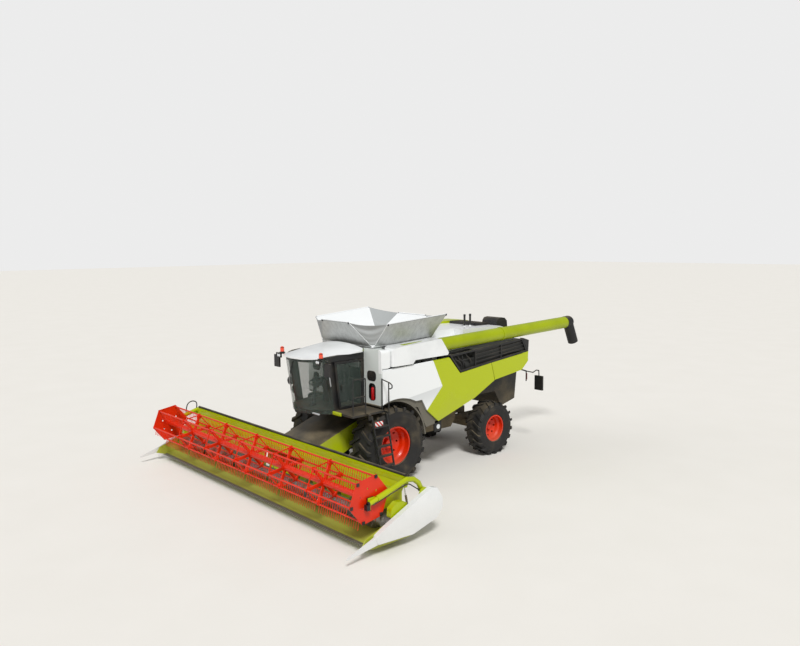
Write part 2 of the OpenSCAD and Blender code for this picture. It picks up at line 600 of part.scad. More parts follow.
module tube_spout() color("#303030") in_frame() {
    p = tube_point(tube_end_y - 204.7);
    q = tube_point(tube_end_y);
    end_y = axle_to_spout - spout_r * sin(spout_lean);
    rod(p, q, tube_r + 6);
    translate(q) sphere(r = tube_r + 10);
    rod(q, [tube_x, end_y, q[2] - (end_y - q[1]) * tan(spout_lean)], spout_r);
}

// Ladder: two rails and five steps outside the front wheel, swinging on an upright pin
ladder_hinge = [1790, -1000];
module ladder() color("dimgray") in_frame() {
    for (y = [[-940, -780], [-450, -330]]) rod([1810, y[0], 1990], [1950, y[1], 640], 26);
    for (k = [0:4]) block([1790 + 28 * (4 - k), -930 + 30 * (4 - k), 672 + 250 * k],
        [1890 + 28 * (4 - k), -440 + 22 * (4 - k), 710 + 250 * k]);
    difference() {
        union() {
            translate([ladder_hinge[0], ladder_hinge[1], 1895]) cylinder(r = 30, h = 100);
            block([1790, -1000, 1910], [1830, -925, 1980]);
        }
        translate([ladder_hinge[0], ladder_hinge[1], 1800]) cylinder(r = 15.5, h = 300);
    }
}

// Feeder house: a closed steel channel that carries the header and turns about its upper rear end
feeder_r = 290;
lift_a = [-250, 620];
lift_b = [-1450, 620];
module feeder_house() color("yellowgreen") in_frame() {
    difference() {
        side_slab(-feeder_x, feeder_x) {
            polygon([[0, feeder_pivot_z + feeder_r], [-2330, 1040], [-2330, 380],
                [0, feeder_pivot_z - feeder_r]]);
            translate([0, feeder_pivot_z]) circle(feeder_r);
        }
        side_slab(-feeder_x + 40, feeder_x - 40) polygon([[-100, 1780], [-2400, 980], [-2400, 400],
            [-100, 1300]]);
    }
    // flared plates beside the mouth
    both_sides() side_slab(feeder_x - eps, feeder_x + 50) polygon([[-2330, 480], [-2330, 1190],
        [-2260, 1270], [-2100, 1290],
        [-1930, 1220], [-1850, 1050], [-1900, 700]]);
    both_sides() for (x = [460, 600]) block([x, -1500, 570], [x + 40, -1400, 760]);
    both_sides() x_cyl(480, 620, 24, lift_b[0], lift_b[1]);
}
module lift_barrels() color("black") in_frame() both_sides() difference() {
    union() {
        rod([550, -290, 620], [550, -1120, 620], 55);
        x_cyl(505, 595, 62, lift_a[0], lift_a[1]);
    }
    x_cyl(400, 700, 24.5, lift_a[0], lift_a[1]);
    rod([550, -340, 620], [550, -1200, 620], 35.5);
}
module lift_rods() color("silver") in_frame() both_sides() difference() {
    union() {
        rod([550, -420, 620], [550, -1404, 620], 35);
        x_cyl(508, 592, 60, lift_b[0], lift_b[1]);
    }
    x_cyl(400, 700, 40.5, lift_b[0], lift_b[1]);
}

// Header table: trough, back wall with the feeder's opening, top beam and end sheets
auger_y = -2740;
auger_z = 485;
trough_r = 266;
knife_y = -3400;
knife_z = 190;
table_x = 4720;
module table_section() {
    difference() {
        translate([auger_y, auger_z]) circle(trough_r + 24);
        translate([auger_y, auger_z]) circle(trough_r);
        translate([auger_y - 500, auger_z]) square([1000, 500]);
        translate([auger_y - 500, auger_z - 500]) square([500, 500]);
    }
    polygon([[auger_y, auger_z - trough_r - 24], [auger_y, auger_z - trough_r],
        [knife_y, knife_z + 10], [knife_y, knife_z - 15]]);
    translate([auger_y + trough_r, auger_z - eps]) square([24, 1135 - auger_z]);
    polygon([[-2474, 1120], [-2400, 1400], [-2330, 1420], [-2330, 1300], [-2450, 1100]]);
}
wall_x = 4570;
module header_table() color("yellowgreen") in_frame() {
    difference() {
        union() {
            side_slab(-table_x, table_x) intersection() {
                table_section();
                translate([-4000, 0]) square([3000, 900]);
            }
            side_slab(-wall_x, wall_x) table_section();
        }
        block([-760, -2500, 330], [760, -2400, 1000]);
    }
    both_sides() {
        side_slab(table_x - eps, table_x + 30) polygon([[-1900, 500], [-1860, 1080], [-1960, 1130],
            [-2060, 1090], [-2120, 980], [-2520, 790], [-3000, 610], [-3600, 400], [-3700, 250],
                [-3420, 160], [-2400, 160]]);
        // pin of the reel arm and the lower pin of its cylinder
        x_cyl(4590, table_x, 25, arm_pivot[0], arm_pivot[1]);
        x_cyl(4566, table_x, 18, reel_lift_a[0], reel_lift_a[1]);
        // rounded guard over the auger's drive
        side_slab(4580, table_x) rounded(60) polygon([[-2900, 640], [-2880, 860], [-2720, 965],
            [-2540, 940],
            [-2400, 800], [-2400, 640]]);
    }
    block([-wall_x, -2440, 1290], [wall_x, -2340, 1400]);
    block([-table_x, -2440, 220], [table_x, -2340, 330]);
}
module crop_dividers() color("white") in_frame() both_sides() {
    side_slab(table_x + 30, header_x) rounded(70) polygon([[-1530, 620], [-1530, 820],
        [-1690, 1080], [-1850, 1120],
        [-2130, 1010], [-2600, 810], [-3100, 600], [-3400, 450], [-3400, 280], [-2400, 240], [-1700, 420]]);
    hull() {
        x_cyl(header_x - 70, header_x - 20, 55, -3250, 340, $fn = 32);
        x_cyl(header_x - 70, header_x - 20, 55, -3250, 440, $fn = 32);
        x_cyl(header_x - 50, header_x - 30, 20, axle_to_spout - overall_len + 20, 190, $fn = 32);
    }
}
// Cutterbar: a comb of pointed guards along the table's front edge
guard_n = floor(2 * (table_x - 20) / guard_pitch);
module cutterbar() color("gray") in_frame() {
    plan_slab(knife_z - 12, knife_z + 6) polygon(concat([[-table_x + 20, knife_y - 1],
        [table_x - 20, knife_y - 1]],
        [for (k = [guard_n - 1:-1:0]) let (x = (k - (guard_n - 1) / 2) * guard_pitch)
            each [[x + 22, knife_y - 40], [x + 4, knife_y - 130], [x - 4, knife_y - 130],
                [x - 22, knife_y - 40]]]));
}
// Intake auger: a tube with opposed flights that bring the crop to the middle, and its fingers
flight_x = 700;
flight_end = table_x - 150;
flight_pitch = 560;
module intake_auger() color("silver") in_frame() translate([0, auger_y, auger_z]) rotate([0, 90, 0]) {
    cylinder(r = 150, h = 2 * (table_x - 20), center = true);
    for (s = [-1, 1]) mirror([0, 0, s > 0 ? 0 : 1]) translate([0, 0, flight_x])
        linear_extrude(flight_end - flight_x, twist = -360 * (flight_end - flight_x) / flight_pitch,
            slices = 112, segments = 4)
            translate([60, -6]) square([auger_r - 60, 12]);
    for (k = [0:11]) rotate([0, 0, 150 * k]) translate([0, 0, -600 + 109 * k])
        rotate([0, 90, 0]) cylinder(r = 8, h = auger_r);
}

// Reel arms: bent tubes that turn on the end sheets; the straight front part is a sleeve
arm_x = 4652;
arm_r = 56;
slide_r = 46;
arm_pivot = [-1960, 1060];
arm_bend = [-2390, 1365];
arm_end = [-3460, 1075];
arm_slope = (arm_bend[1] - arm_end[1]) / (arm_bend[0] - arm_end[0]);
reel_lift_a = [-2300, 640];
reel_lift_b = [-2420, 1230];
function on_arm(y) = [arm_x, y, arm_end[1] + (y - arm_end[0]) * arm_slope];
module reel_arms() color("yellowgreen") in_frame() both_sides() {
    difference() {
        union() {
            bent_rail([[arm_x, arm_pivot[0], arm_pivot[1]], [arm_x, -2050, 1220], [arm_x, -2190, 1325],
                on_arm(arm_bend[0]), on_arm(-3210)], arm_r);
            rod(on_arm(-2900), on_arm(-3210), arm_r + 6);
            x_cyl(4598, 4704, 62, arm_pivot[0], arm_pivot[1]);
            side_slab(4636, 4668) polygon([[-2490, 1340], [-2460, 1200], [-2390, 1195], [-2330, 1340]]);
        }
        x_cyl(4500, 4800, 25.5, arm_pivot[0], arm_pivot[1]);
        rod(on_arm(-2880), on_arm(-3300), slide_r + 0.5);
    }
    x_cyl(4578, 4640, 14, reel_lift_b[0], reel_lift_b[1]);
}
// Reel bearings: inner tubes that slide in the arms' sleeves and hold the reel's shaft
reel_c = [-3330, 1130];
module reel_bearings() color("gray") in_frame() both_sides() difference() {
    union() {
        rod(on_arm(-2900), on_arm(arm_end[0]), slide_r);
        block([4570, reel_c[0] - 85, reel_c[1] - 95], [4622, reel_c[0] + 85, reel_c[1] + 60]);
        block([4600, -3505, 960], [4690, -3415, 1080]);
    }
    x_cyl(4500, 4603, 25.5, reel_c[0], reel_c[1]);
}
// Reel: a tube with hexagonal end plates and open spiders between them
reel_x = 4556;
spider_n = 7;
spider_t = 16;
bar_r = 20;
bar_play = 0.5;
first_bar = 9;
function bar_angle(k) = first_bar + 360 * k / tine_bars;
function bar_place(k) = reel_r * [cos(bar_angle(k)), sin(bar_angle(k))];
module bar_holes() for (k = [1:tine_bars]) translate(bar_place(k)) circle(bar_r + bar_play);
module end_plate() difference() {
    rotate(first_bar) circle(reel_r + 50, $fn = tine_bars);
    bar_holes();
    for (k = [1:tine_bars]) rotate(bar_angle(k) + 30) translate([reel_r * 0.5, 0]) circle(22);
}
module spider() difference() {
    union() {
        circle(110);
        for (k = [1:tine_bars]) {
            rotate(bar_angle(k)) translate([0, -28]) square([reel_r, 56]);
            translate(bar_place(k)) circle(40);
            translate(bar_place(k)) rotate(bar_angle(k) + 120) translate([0, -12]) square([reel_r, 24]);
        }
    }
    bar_holes();
}
module reel_frame() color("orangered") in_frame() translate([0, reel_c[0], reel_c[1]]) {
    rotate([0, 90, 0]) cylinder(r = 70, h = 2 * reel_x, center = true);
    rotate([0, 90, 0]) cylinder(r = 25, h = 2 * 4600, center = true);
    for (k = [0:spider_n - 1]) translate([-reel_x + spider_t / 2 + k * (2 * reel_x - spider_t)
        / (spider_n - 1), 0, 0])
        rotate([90, 0, 90]) translate([0, 0, -spider_t / 2]) linear_extrude(spider_t)
            if (k == 0 || k == spider_n - 1) end_plate(); else spider();
}
// Tine bars: tubes with downward tines, which stay upright as the reel turns
tine_lean = 12;
tine_n = 60;
module tine_bar(k) color("orangered") in_frame()
    translate([0, reel_c[0] + bar_place(k)[0], reel_c[1] + bar_place(k)[1]]) {
        rotate([0, 90, 0]) cylinder(r = bar_r, h = 2 * reel_x + 18, center = true);
        rotate([90 - tine_lean, 0, 0]) translate([0, 0, -5]) linear_extrude(10) for (i = [0:tine_n - 1])
            translate([(i - (tine_n - 1) / 2) * tine_pitch, 0])
                polygon([[-8, 0], [8, 0], [4, -tine_len], [-4, -tine_len]]);
    }
// Reel lift cylinders behind the table
reel_lift_d = reel_lift_b - reel_lift_a;
reel_lift_x = 4604;
function reel_lift_at(t) = [reel_lift_x, reel_lift_a[0] + t * reel_lift_d[0],
    reel_lift_a[1] + t * reel_lift_d[1]];
module reel_barrels() color("black") in_frame() both_sides() difference() {
    union() {
        rod(reel_lift_at(0.05), reel_lift_at(0.62), 24);
        x_cyl(4584, 4624, 34, reel_lift_a[0], reel_lift_a[1]);
    }
    rod(reel_lift_at(0.1), reel_lift_at(0.9), 14.5);
    x_cyl(4500, 4700, 18.5, reel_lift_a[0], reel_lift_a[1]);
}
module reel_rods() color("silver") in_frame() both_sides() difference() {
    union() {
        rod(reel_lift_at(0.2), reel_lift_at(0.97), 14);
        x_cyl(4588, 4620, 32, reel_lift_b[0], reel_lift_b[1]);
    }
    x_cyl(4500, 4700, 20, reel_lift_b[0], reel_lift_b[1]);
}

frame();
separator_body();
engine_block();
engine_deck();
grain_tank();
cab_frame();
cab_glass();
cab_roof();
cab_interior();
platform();
service_boxes();
cooler_intake();
mirrors();
lamps();
wheel_arches();
rear_hood();
side_grilles();
straw_chopper();
rear_axle();
knuckle_left();
knuckle_right();
front_tyre_left();
front_rim_left();
front_tyre_right();
front_rim_right();
rear_tyre_left();
rear_rim_left();
rear_tyre_right();
rear_rim_right();
cab_door();
cab_door_glass();
side_door_left();
side_door_right();
unloading_tube();
tube_fairing();
tube_spout();
tank_flap_front();
tank_flap_rear();
tank_flap_left();
tank_flap_right();
tank_gussets();
ladder();
feeder_house();
lift_barrels();
lift_rods();
header_table();
crop_dividers();
cutterbar();
intake_auger();
reel_arms();
reel_bearings();
reel_barrels();
reel_rods();
reel_frame();
tine_bar(1);  // tine_bar_1
tine_bar(2);  // tine_bar_2
tine_bar(3);  // tine_bar_3
tine_bar(4);  // tine_bar_4
tine_bar(5);  // tine_bar_5
tine_bar(6);  // tine_bar_6
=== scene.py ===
import math

import bpy
from mathutils import Matrix, Vector


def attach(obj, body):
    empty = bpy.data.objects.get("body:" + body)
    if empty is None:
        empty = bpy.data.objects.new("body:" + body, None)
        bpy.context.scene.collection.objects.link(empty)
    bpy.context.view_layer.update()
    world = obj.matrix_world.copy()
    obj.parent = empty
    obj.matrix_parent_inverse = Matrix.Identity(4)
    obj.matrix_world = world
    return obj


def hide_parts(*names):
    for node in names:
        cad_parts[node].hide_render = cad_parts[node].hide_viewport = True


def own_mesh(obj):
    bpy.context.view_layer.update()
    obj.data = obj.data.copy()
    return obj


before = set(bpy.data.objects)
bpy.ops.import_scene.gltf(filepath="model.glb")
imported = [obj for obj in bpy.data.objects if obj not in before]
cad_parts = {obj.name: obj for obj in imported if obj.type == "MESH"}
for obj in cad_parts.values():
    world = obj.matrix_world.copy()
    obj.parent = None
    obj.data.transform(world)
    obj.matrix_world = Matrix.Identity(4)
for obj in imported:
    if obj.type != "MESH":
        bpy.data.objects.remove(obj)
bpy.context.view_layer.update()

# Studio.
# The harvester stands on a pale floor under a broad soft key light from its left, a weaker
# fill from the front and an even pale sky. The camera stands high off its left front corner.
CAMERA_PLACE = (15.75, -14.705, 6.28)
CAMERA_TURN = math.radians(47.76)
CAMERA_DIP = math.radians(6.09)
CAMERA_ROLL = math.radians(-0.43)
CAMERA_LENS = 33.27
FLOOR_SIZE = 400.0
FLOOR_PALE = ("E4E1DA", "E9E6E0")
SKY_LEVEL = 0.42
BACKDROP_LEVEL = 0.42
SUNS = (("key_light", 2.5, (36, 22, 30), 14), ("fill_light", 0.45, (55, -30, -20), 40))


def tone(code):
    """The linear colour of a paint chip that is written as six hexadecimal digits."""
    parts = [int(code[i:i + 2], 16) / 255 for i in (0, 2, 4)]
    return tuple(c / 12.92 if c < 0.04045 else ((c + 0.055) / 1.055) ** 2.4 for c in parts) + (1.0,)


class Wire:
    """A value, a colour or a vector on its way through a material's nodes."""

    def __init__(self, tree, socket):
        self.tree = tree
        self.socket = socket

    def node(self, kind, values, out=0, **settings):
        """A new node's output: its settings go in first, then its values and links."""
        made = self.tree.nodes.new("ShaderNode" + kind)
        for name, value in settings.items():
            setattr(made, name, value)
        for name, value in values.items():
            if isinstance(value, Wire):
                self.tree.links.new(value.socket, made.inputs[name])
            else:
                made.inputs[name].default_value = value
        return Wire(self.tree, made.outputs[out])

    def maths(self, operation, *others):
        return self.node("Math", dict(enumerate((self,) + others)), operation=operation)

    def __add__(self, other):
        return self.maths("ADD", other)

    __radd__ = __add__

    def __sub__(self, other):
        return self.maths("SUBTRACT", other)

    def __rsub__(self, other):
        return self.node("Math", {0: other, 1: self}, operation="SUBTRACT")

    def __mul__(self, other):
        return self.maths("MULTIPLY", other)

    __rmul__ = __mul__

    def __lt__(self, other):
        return self.maths("LESS_THAN", other)

    def __gt__(self, other):
        return self.maths("GREATER_THAN", other)

    def ramp(self, low, high):
        """0 below low and 1 above high, with a smooth step between them."""
        values = {"Value": self, "From Min": low, "From Max": high}
        return self.node("MapRange", values, interpolation_type="SMOOTHSTEP")

    def axis(self, index):
        return self.node("SeparateXYZ", {0: self}, out=index)

    def noise(self, scale, detail=3.0, rough=0.55):
        values = {"Vector": self, "Scale": scale, "Detail": detail, "Roughness": rough}
        return self.node("TexNoise", values)

    def stretched(self, x, y, z):
        return self.node("Mapping", {"Vector": self, "Scale": (x, y, z)})

    def blend(self, first, second):
        """The colour that goes from first to second as this value goes from 0 to 1."""
        return self.node("Mix", {0: self, 6: first, 7: second}, out=2, data_type="RGBA")

    def bump(self, distance, strength=1.0):
        return self.node("Bump", {"Height": self, "Distance": distance, "Strength": strength})


class Finish:
    """A material with its shader and the two vectors that its patterns start from."""

    def __init__(self, name, **constants):
        self.material = bpy.data.materials.new(name)
        self.material.use_nodes = True
        tree = self.material.node_tree
        self.shader = tree.nodes["Principled BSDF"]
        spot = tree.nodes.new("ShaderNodeTexCoord")
        self.place = Wire(tree, spot.outputs["Object"])
        self.facing = Wire(tree, spot.outputs["Normal"])
        for name, value in constants.items():
            self.socket(name).default_value = value

    def socket(self, name):
        return self.shader.inputs[name.replace("_", " ").title().replace("Ior", "IOR")]

    def feed(self, **wires):
        """Links what changes over the surface, and hands back the material."""
        for name, wire in wires.items():
            wire.tree.links.new(wire.socket, self.socket(name))
        return self.material


def wavering(name, codes, grain, **constants):
    """A finish whose colour wavers a little between two tones."""
    finish = Finish(name, **constants)
    finish.feed(base_color=finish.place.noise(grain).blend(*[tone(code) for code in codes]))
    return finish


scene = bpy.context.scene
scene.view_settings.view_transform = "Standard"
bpy.ops.object.select_all(action="DESELECT")
bpy.ops.object.camera_add()
camera = bpy.context.object
camera.matrix_world = (
    Matrix.Translation(CAMERA_PLACE)
    @ Matrix.Rotation(CAMERA_TURN, 4, "Z")
    @ Matrix.Rotation(math.pi / 2 - CAMERA_DIP, 4, "X")
    @ Matrix.Rotation(CAMERA_ROLL, 4, "Z"))
camera.data.lens = CAMERA_LENS
camera.data.clip_end = FLOOR_SIZE * 2
scene.camera = camera
for name, level, angles, softness in SUNS:
    bpy.ops.object.light_add(type="SUN", rotation=[math.radians(a) for a in angles])
    bpy.context.object.name = name
    bpy.context.object.data.energy = level
    bpy.context.object.data.angle = math.radians(softness)

sky = bpy.data.worlds.new("sky")
sky.use_nodes = True
scene.world = sky
light_path = sky.node_tree.nodes.new("ShaderNodeLightPath")
seen = Wire(sky.node_tree, light_path.outputs["Is Camera Ray"])
backdrop = seen * BACKDROP_LEVEL + SKY_LEVEL
background = sky.node_tree.nodes["Background"]
background.inputs["Color"].default_value = (1.0, 1.0, 1.0, 1.0)
sky.node_tree.links.new(backdrop.socket, background.inputs["Strength"])

bpy.ops.mesh.primitive_plane_add(size=FLOOR_SIZE)
floor = bpy.context.object
floor.name = "floor"
floor.data.materials.append(wavering("pale_floor", FLOOR_PALE, 0.6, roughness=0.85).material)

# Undercarriage.
# The welded frame, both axles and the lower threshing case are steel in a dark grey coat.
# Field dust lies on all of it, thickest low down and on what faces up.
DARK_STEEL = "262726"
CASE_STEEL = "30312F"
FIELD_DUST = "9A8A6C"
AXLE_Y = -2.085
SHEEN = 0.3
CLEAR_COAT = 0.22
DULLED = 0.86
CLOUD = 1.3
GRIT = 45.0
ORANGE_PEEL = 220.0
PEEL_DEPTH = 0.0006


def sprayed(finish, base, dirt, rough, coat=CLEAR_COAT):
    """Clear coat over a colour, dulled where the dust lies, with a fine orange peel."""
    return finish.feed(
        base_color=dirt.blend(base, tone(FIELD_DUST)), roughness=dirt * 0.45 + rough,
        coat_weight=(1 - dirt) * coat,
        normal=finish.place.noise(ORANGE_PEEL, 1.0).bump(PEEL_DEPTH, 0.35))


def paint(name, code, rough=0.34, dust=0.4, dust_top=1.6, coat=CLEAR_COAT, under=None):
    """Sprayed paint: slightly cloudy, dusted from below and on what faces up."""
    finish = Finish(name, specular_ior_level=SHEEN)
    colour = tone(code)
    dull = tuple(c * DULLED for c in colour[:3]) + (1.0,)
    cloud = finish.place.noise(CLOUD, 5.0)
    grit = finish.place.noise(GRIT, 4.0)
    low = 1 - finish.place.axis(2).ramp(0.2, dust_top)
    flat = finish.facing.axis(2).ramp(0.5, 1.0)
    dirt = (cloud * 0.7 + grit * 0.35 + low * 0.55 + flat * 0.12).ramp(0.62, 1.25) * dust
    base = cloud.ramp(0.3, 0.7).blend(dull, colour)
    if under:
        base = (finish.facing.axis(2) < -0.5).blend(base, tone(under))
    return sprayed(finish, base, dirt, rough, coat)


def coat_nodes(material, *names):
    """Gives CAD nodes their finish."""
    for name in names:
        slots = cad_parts[name].data.materials
        slots.clear()
        slots.append(material)


def settle(name):
    """Names the piece that was just added and moves its place into its mesh."""
    piece = bpy.context.object
    piece.name = name
    bpy.ops.object.transform_apply(location=True, rotation=True, scale=True)
    return piece


def smooth(angle=40):
    """Shades the active piece smooth, except over edges sharper than the angle."""
    bpy.ops.object.shade_smooth_by_angle(angle=math.radians(angle))


def plate(name, low, high, edge, steps=2):
    """A block between two corners, given from the front axle, with rounded edges."""
    middle = [(a + b) / 2 for a, b in zip(low, high)]
    middle[1] += AXLE_Y
    bpy.ops.object.select_all(action="DESELECT")
    bpy.ops.mesh.primitive_cube_add(size=1, location=middle,
                                    scale=[b - a for a, b in zip(low, high)])
    piece = settle(name)
    bpy.ops.object.mode_set(mode="EDIT")
    bpy.ops.mesh.select_all(action="SELECT")
    bpy.ops.mesh.bevel(offset=edge, segments=steps)
    bpy.ops.object.mode_set(mode="OBJECT")
    smooth()
    return piece


def tube(name, points, radius, sides=4, soft=True):
    """A bent round bar through points that are given from the front axle."""
    bpy.ops.object.select_all(action="DESELECT")
    bpy.ops.curve.primitive_nurbs_path_add()
    path = bpy.context.object.data
    spline = path.splines[0]
    spline.points.add(max(0, len(points) - len(spline.points)))
    while len(points) < len(spline.points):
        halfway = tuple((a + b) / 2 for a, b in zip(points[0], points[1]))
        points = points[:1] + [halfway] + points[1:]
    for knot, (x, y, z) in zip(spline.points, points):
        knot.co = (x, y + AXLE_Y, z, 1)
    spline.order_u = 3 if soft else 2
    spline.use_endpoint_u = True
    path.resolution_u = 6
    path.bevel_depth = radius
    path.bevel_resolution = sides
    path.use_fill_caps = True
    bpy.ops.object.convert(target="MESH")
    piece = settle(name)
    smooth()
    return piece


def turned(name, rings, centre, axis="Z", sides=40):
    """A lathe-turned piece: rings of (radius, height) along an axis from centre."""
    bpy.ops.object.select_all(action="DESELECT")
    bpy.ops.mesh.primitive_circle_add(vertices=sides, radius=rings[0][0], fill_type="NGON")
    bpy.ops.object.mode_set(mode="EDIT")
    bpy.ops.mesh.select_all(action="SELECT")
    bpy.ops.transform.translate(value=(0, 0, rings[0][1]))
    for (wide, height), (next_wide, next_height) in zip(rings, rings[1:]):
        rise = (0, 0, next_height - height)
        bpy.ops.mesh.extrude_region_move(TRANSFORM_OT_translate={"value": rise})
        grow = next_wide / wide
        bpy.ops.transform.resize(value=(grow, grow, 1), center_override=(0, 0, next_height))
    bpy.ops.mesh.select_all(action="SELECT")
    bpy.ops.mesh.normals_make_consistent(inside=False)
    bpy.ops.object.mode_set(mode="OBJECT")
    piece = bpy.context.object
    quarter = math.pi / 2
    piece.rotation_euler = {"Z": (0, 0, 0), "X": (0, quarter, 0),
                            "Y": (-quarter, 0, 0), "-Y": (quarter, 0, 0)}[axis]
    piece.location = (centre[0], centre[1] + AXLE_Y, centre[2])
    settle(name)
    smooth()
    return piece


def joined(name, pieces):
    """Several pieces as one object."""
    bpy.ops.object.select_all(action="DESELECT")
    for piece in pieces:
        piece.select_set(True)
    bpy.context.view_layer.objects.active = pieces[0]
    bpy.ops.object.join()
    pieces[0].name = name
    return pieces[0]


def repeat(piece, shifts):
    """The piece at each shift, every copy with a mesh of its own."""
    copies = []
    for shift in shifts:
        bpy.ops.object.select_all(action="DESELECT")
        piece.select_set(True)
        bpy.context.view_layer.objects.active = piece
        bpy.ops.object.duplicate(linked=False)
        bpy.context.object.location = shift
        copies.append(settle(piece.name + "_copy"))
    bpy.data.objects.remove(piece)
    return joined(copies[0].name, copies)


def both_sides(piece):
    """Adds the piece's mirror image on the machine's other side."""
    bpy.ops.object.select_all(action="DESELECT")
    piece.select_set(True)
    bpy.context.view_layer.objects.active = piece
    mirror = piece.modifiers.new("other_side", "MIRROR")
    bpy.ops.object.modifier_apply(modifier=mirror.name)
    return piece


def fit(piece, body, material):
    """Finishes a new piece: what it is made of and which body carries it."""
    piece.data.materials.clear()
    piece.data.materials.append(material)
    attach(piece, body)
    return piece


coat_nodes(paint("dark_frame_paint", DARK_STEEL, rough=0.45, dust=0.85, dust_top=2.4, coat=0.1),
           "frame", "rear_axle", "knuckle_left", "knuckle_right", "lift_barrels", "reel_barrels")
coat_nodes(paint("case_paint", CASE_STEEL, rough=0.5, dust=0.9, dust_top=2.8, coat=0.05),
           "separator_body", "straw_chopper", "engine_block")

# Panels.
# The outer panels are pressed sheet and moulded plastic in gloss white, lime green and grey.
# On the side doors the white front meets the lime rear along two straight edges.
WHITE = "ECEEEE"
LIME = "AFBC00"
BLACK = "17181A"
EDGE_TOP = (1.42, 3.13)
EDGE_KNEE = (1.78, 2.37)
EDGE_FOOT = (1.18, 1.78)
# The doors' crease line, and the grey of a band of painted shade just under it.
CREASE = (-0.39, 2.13)
CREASE_RISE = 0.12
CREASE_PAINTED_SHADE = "B9BDBF"

white_panel = paint("white_panel_paint", WHITE, rough=0.25, dust=0.2)
lime_panel = paint("lime_panel_paint", LIME, rough=0.28, dust=0.2)
coat_nodes(white_panel, "tube_fairing", "crop_dividers")
coat_nodes(lime_panel, "reel_arms")


def door_finish():
    """White ahead of the door's dividing edges, lime behind them, painted shade under the crease.
    """
    finish = Finish("side_door_paint", specular_ior_level=SHEEN)
    along = finish.place.axis(1) - AXLE_Y
    height = finish.place.axis(2)
    upper_lean = (EDGE_KNEE[0] - EDGE_TOP[0]) / (EDGE_TOP[1] - EDGE_KNEE[1])
    lower_lean = (EDGE_KNEE[0] - EDGE_FOOT[0]) / (EDGE_KNEE[1] - EDGE_FOOT[1])
    upper = (EDGE_TOP[1] - height) * upper_lean + EDGE_TOP[0]
    lower = (height - EDGE_FOOT[1]) * lower_lean + EDGE_FOOT[0]
    behind = along > upper.maths("MINIMUM", lower)
    cloud = finish.place.noise(CLOUD, 5.0)
    low = 1 - height.ramp(1.3, 2.6)
    dirt = (cloud * 0.7 + finish.place.noise(GRIT) * 0.35 + low * 0.4).ramp(0.7, 1.3) * 0.35
    # Painted shade: the white turns grey in a band just under the crease.
    crease = (along - CREASE[0]) * CREASE_RISE + CREASE[1]
    painted_shade_under_crease = (crease - height).ramp(0.0, 0.03) * (1 - (crease - height).ramp(0.03, 0.6)) * 0.5
    white = painted_shade_under_crease.blend(tone(WHITE), tone(CREASE_PAINTED_SHADE))
    return sprayed(finish, behind.blend(white, tone(LIME)), dirt, 0.27)


coat_nodes(door_finish(), "side_door_left", "side_door_right")

# Rear hood and deck paint.
# The hood is one lime moulding whose rear corners carry on the black of the grilles above the
# doors' line. The deck is white sheet, and the steel stacks that stand on it are dark.
GRILLE_FOOT = (2.52, 2.66)
GRILLE_RISE = 0.0963
HOOD_SIDE = 1.505
STACK_GREY = "2C2C2C"
STACK_X = 0.5
STACK_REACH = 0.045
STACK_FOOT = 3.80


def cornered(name, code, dark, rough, corner):
    """Paint of one colour that turns dark where corner(finish) is 1."""
    finish = Finish(name, specular_ior_level=SHEEN)
    cloud = finish.place.noise(CLOUD, 5.0)
    dirt = (cloud * 0.8 + finish.place.noise(GRIT) * 0.35).ramp(0.65, 1.25) * 0.25
    return sprayed(finish, corner(finish).blend(tone(code), tone(dark)), dirt, rough)


def hood_corner(finish):
    """1 on the hood's sides above the line that carries on the grilles' lower edge."""
    along = finish.place.axis(1) - AXLE_Y
    line = (along - GRILLE_FOOT[0]) * GRILLE_RISE + GRILLE_FOOT[1]
    return (finish.place.axis(2) > line) * (finish.place.axis(0).maths("ABSOLUTE") > HOOD_SIDE)


def stack_pipes(finish):
    """1 on the two stacks, which stand in line above the deck."""
    across = (finish.place.axis(0) - STACK_X).maths("ABSOLUTE")
    return (finish.place.axis(2) > STACK_FOOT) * (across < STACK_REACH)


coat_nodes(cornered("hood_paint", LIME, BLACK, 0.3, hood_corner), "rear_hood")
coat_nodes(cornered("deck_paint", WHITE, STACK_GREY, 0.28, stack_pipes), "engine_deck")

# Moulded plastics.
# Grilles, cab frame, mirror housings and lamp bodies are grained black plastic, bolted on. The
# wheel arches are a paler dusty grey, and the platform and the ladder have a coarse black coat.
ARCH_GREY = "6A665B"
STEP_BLACK = "1C1D1E"
LEATHER_GRAIN = 600.0


def moulded(name, code, rough=0.5, dust=0.3):
    """Grained dark plastic with dust on what faces up."""
    finish = Finish(name)
    cloud = finish.place.noise(1.8, 4.0)
    leather = finish.place.node("TexVoronoi", {"Vector": finish.place, "Scale": LEATHER_GRAIN})
    flat = finish.facing.axis(2).ramp(0.4, 1.0)
    dirt = (cloud + flat * 0.3).ramp(0.45, 1.1) * dust
    return finish.feed(base_color=dirt.blend(tone(code), tone(FIELD_DUST)),
                       roughness=dirt * 0.3 + rough, normal=leather.bump(0.0004, 0.4))


black_plastic = moulded("black_plastic", BLACK)
coat_nodes(black_plastic, "cab_frame", "mirrors", "lamps", "side_grilles", "cab_door",
           "cooler_intake")
coat_nodes(moulded("arch_plastic", ARCH_GREY, rough=0.65, dust=0.6), "wheel_arches")
coat_nodes(moulded("step_coat", STEP_BLACK, dust=0.4), "platform", "ladder")

# Engine deck and what shows through the grilles.
# Pressed slats cover the cooler's intake and follow its slope, turned caps close the stacks, and
# black rubber hoses run behind the open front part of each side grille, clamped at both ends.
SLAT_PITCH = 0.05
SLAT_FALL = 0.00135
SLATS = 10
STACK_PLACES = ((0.5, 3.88), (0.5, 4.13))
CAP_FOOT = 4.085
CAP_RINGS = [(0.036, 0.0), (0.036, 0.05), (0.028, 0.06)]
HOSE_BLACK = "1D1D1D"
HOSE_RADIUS = 0.022
HOSE_ENDS = ((2.32, 3.16, 2.62, 2.80), (2.45, 3.18, 2.80, 2.78),
             (2.62, 3.20, 2.70, 2.82), (2.78, 3.22, 3.02, 2.86))

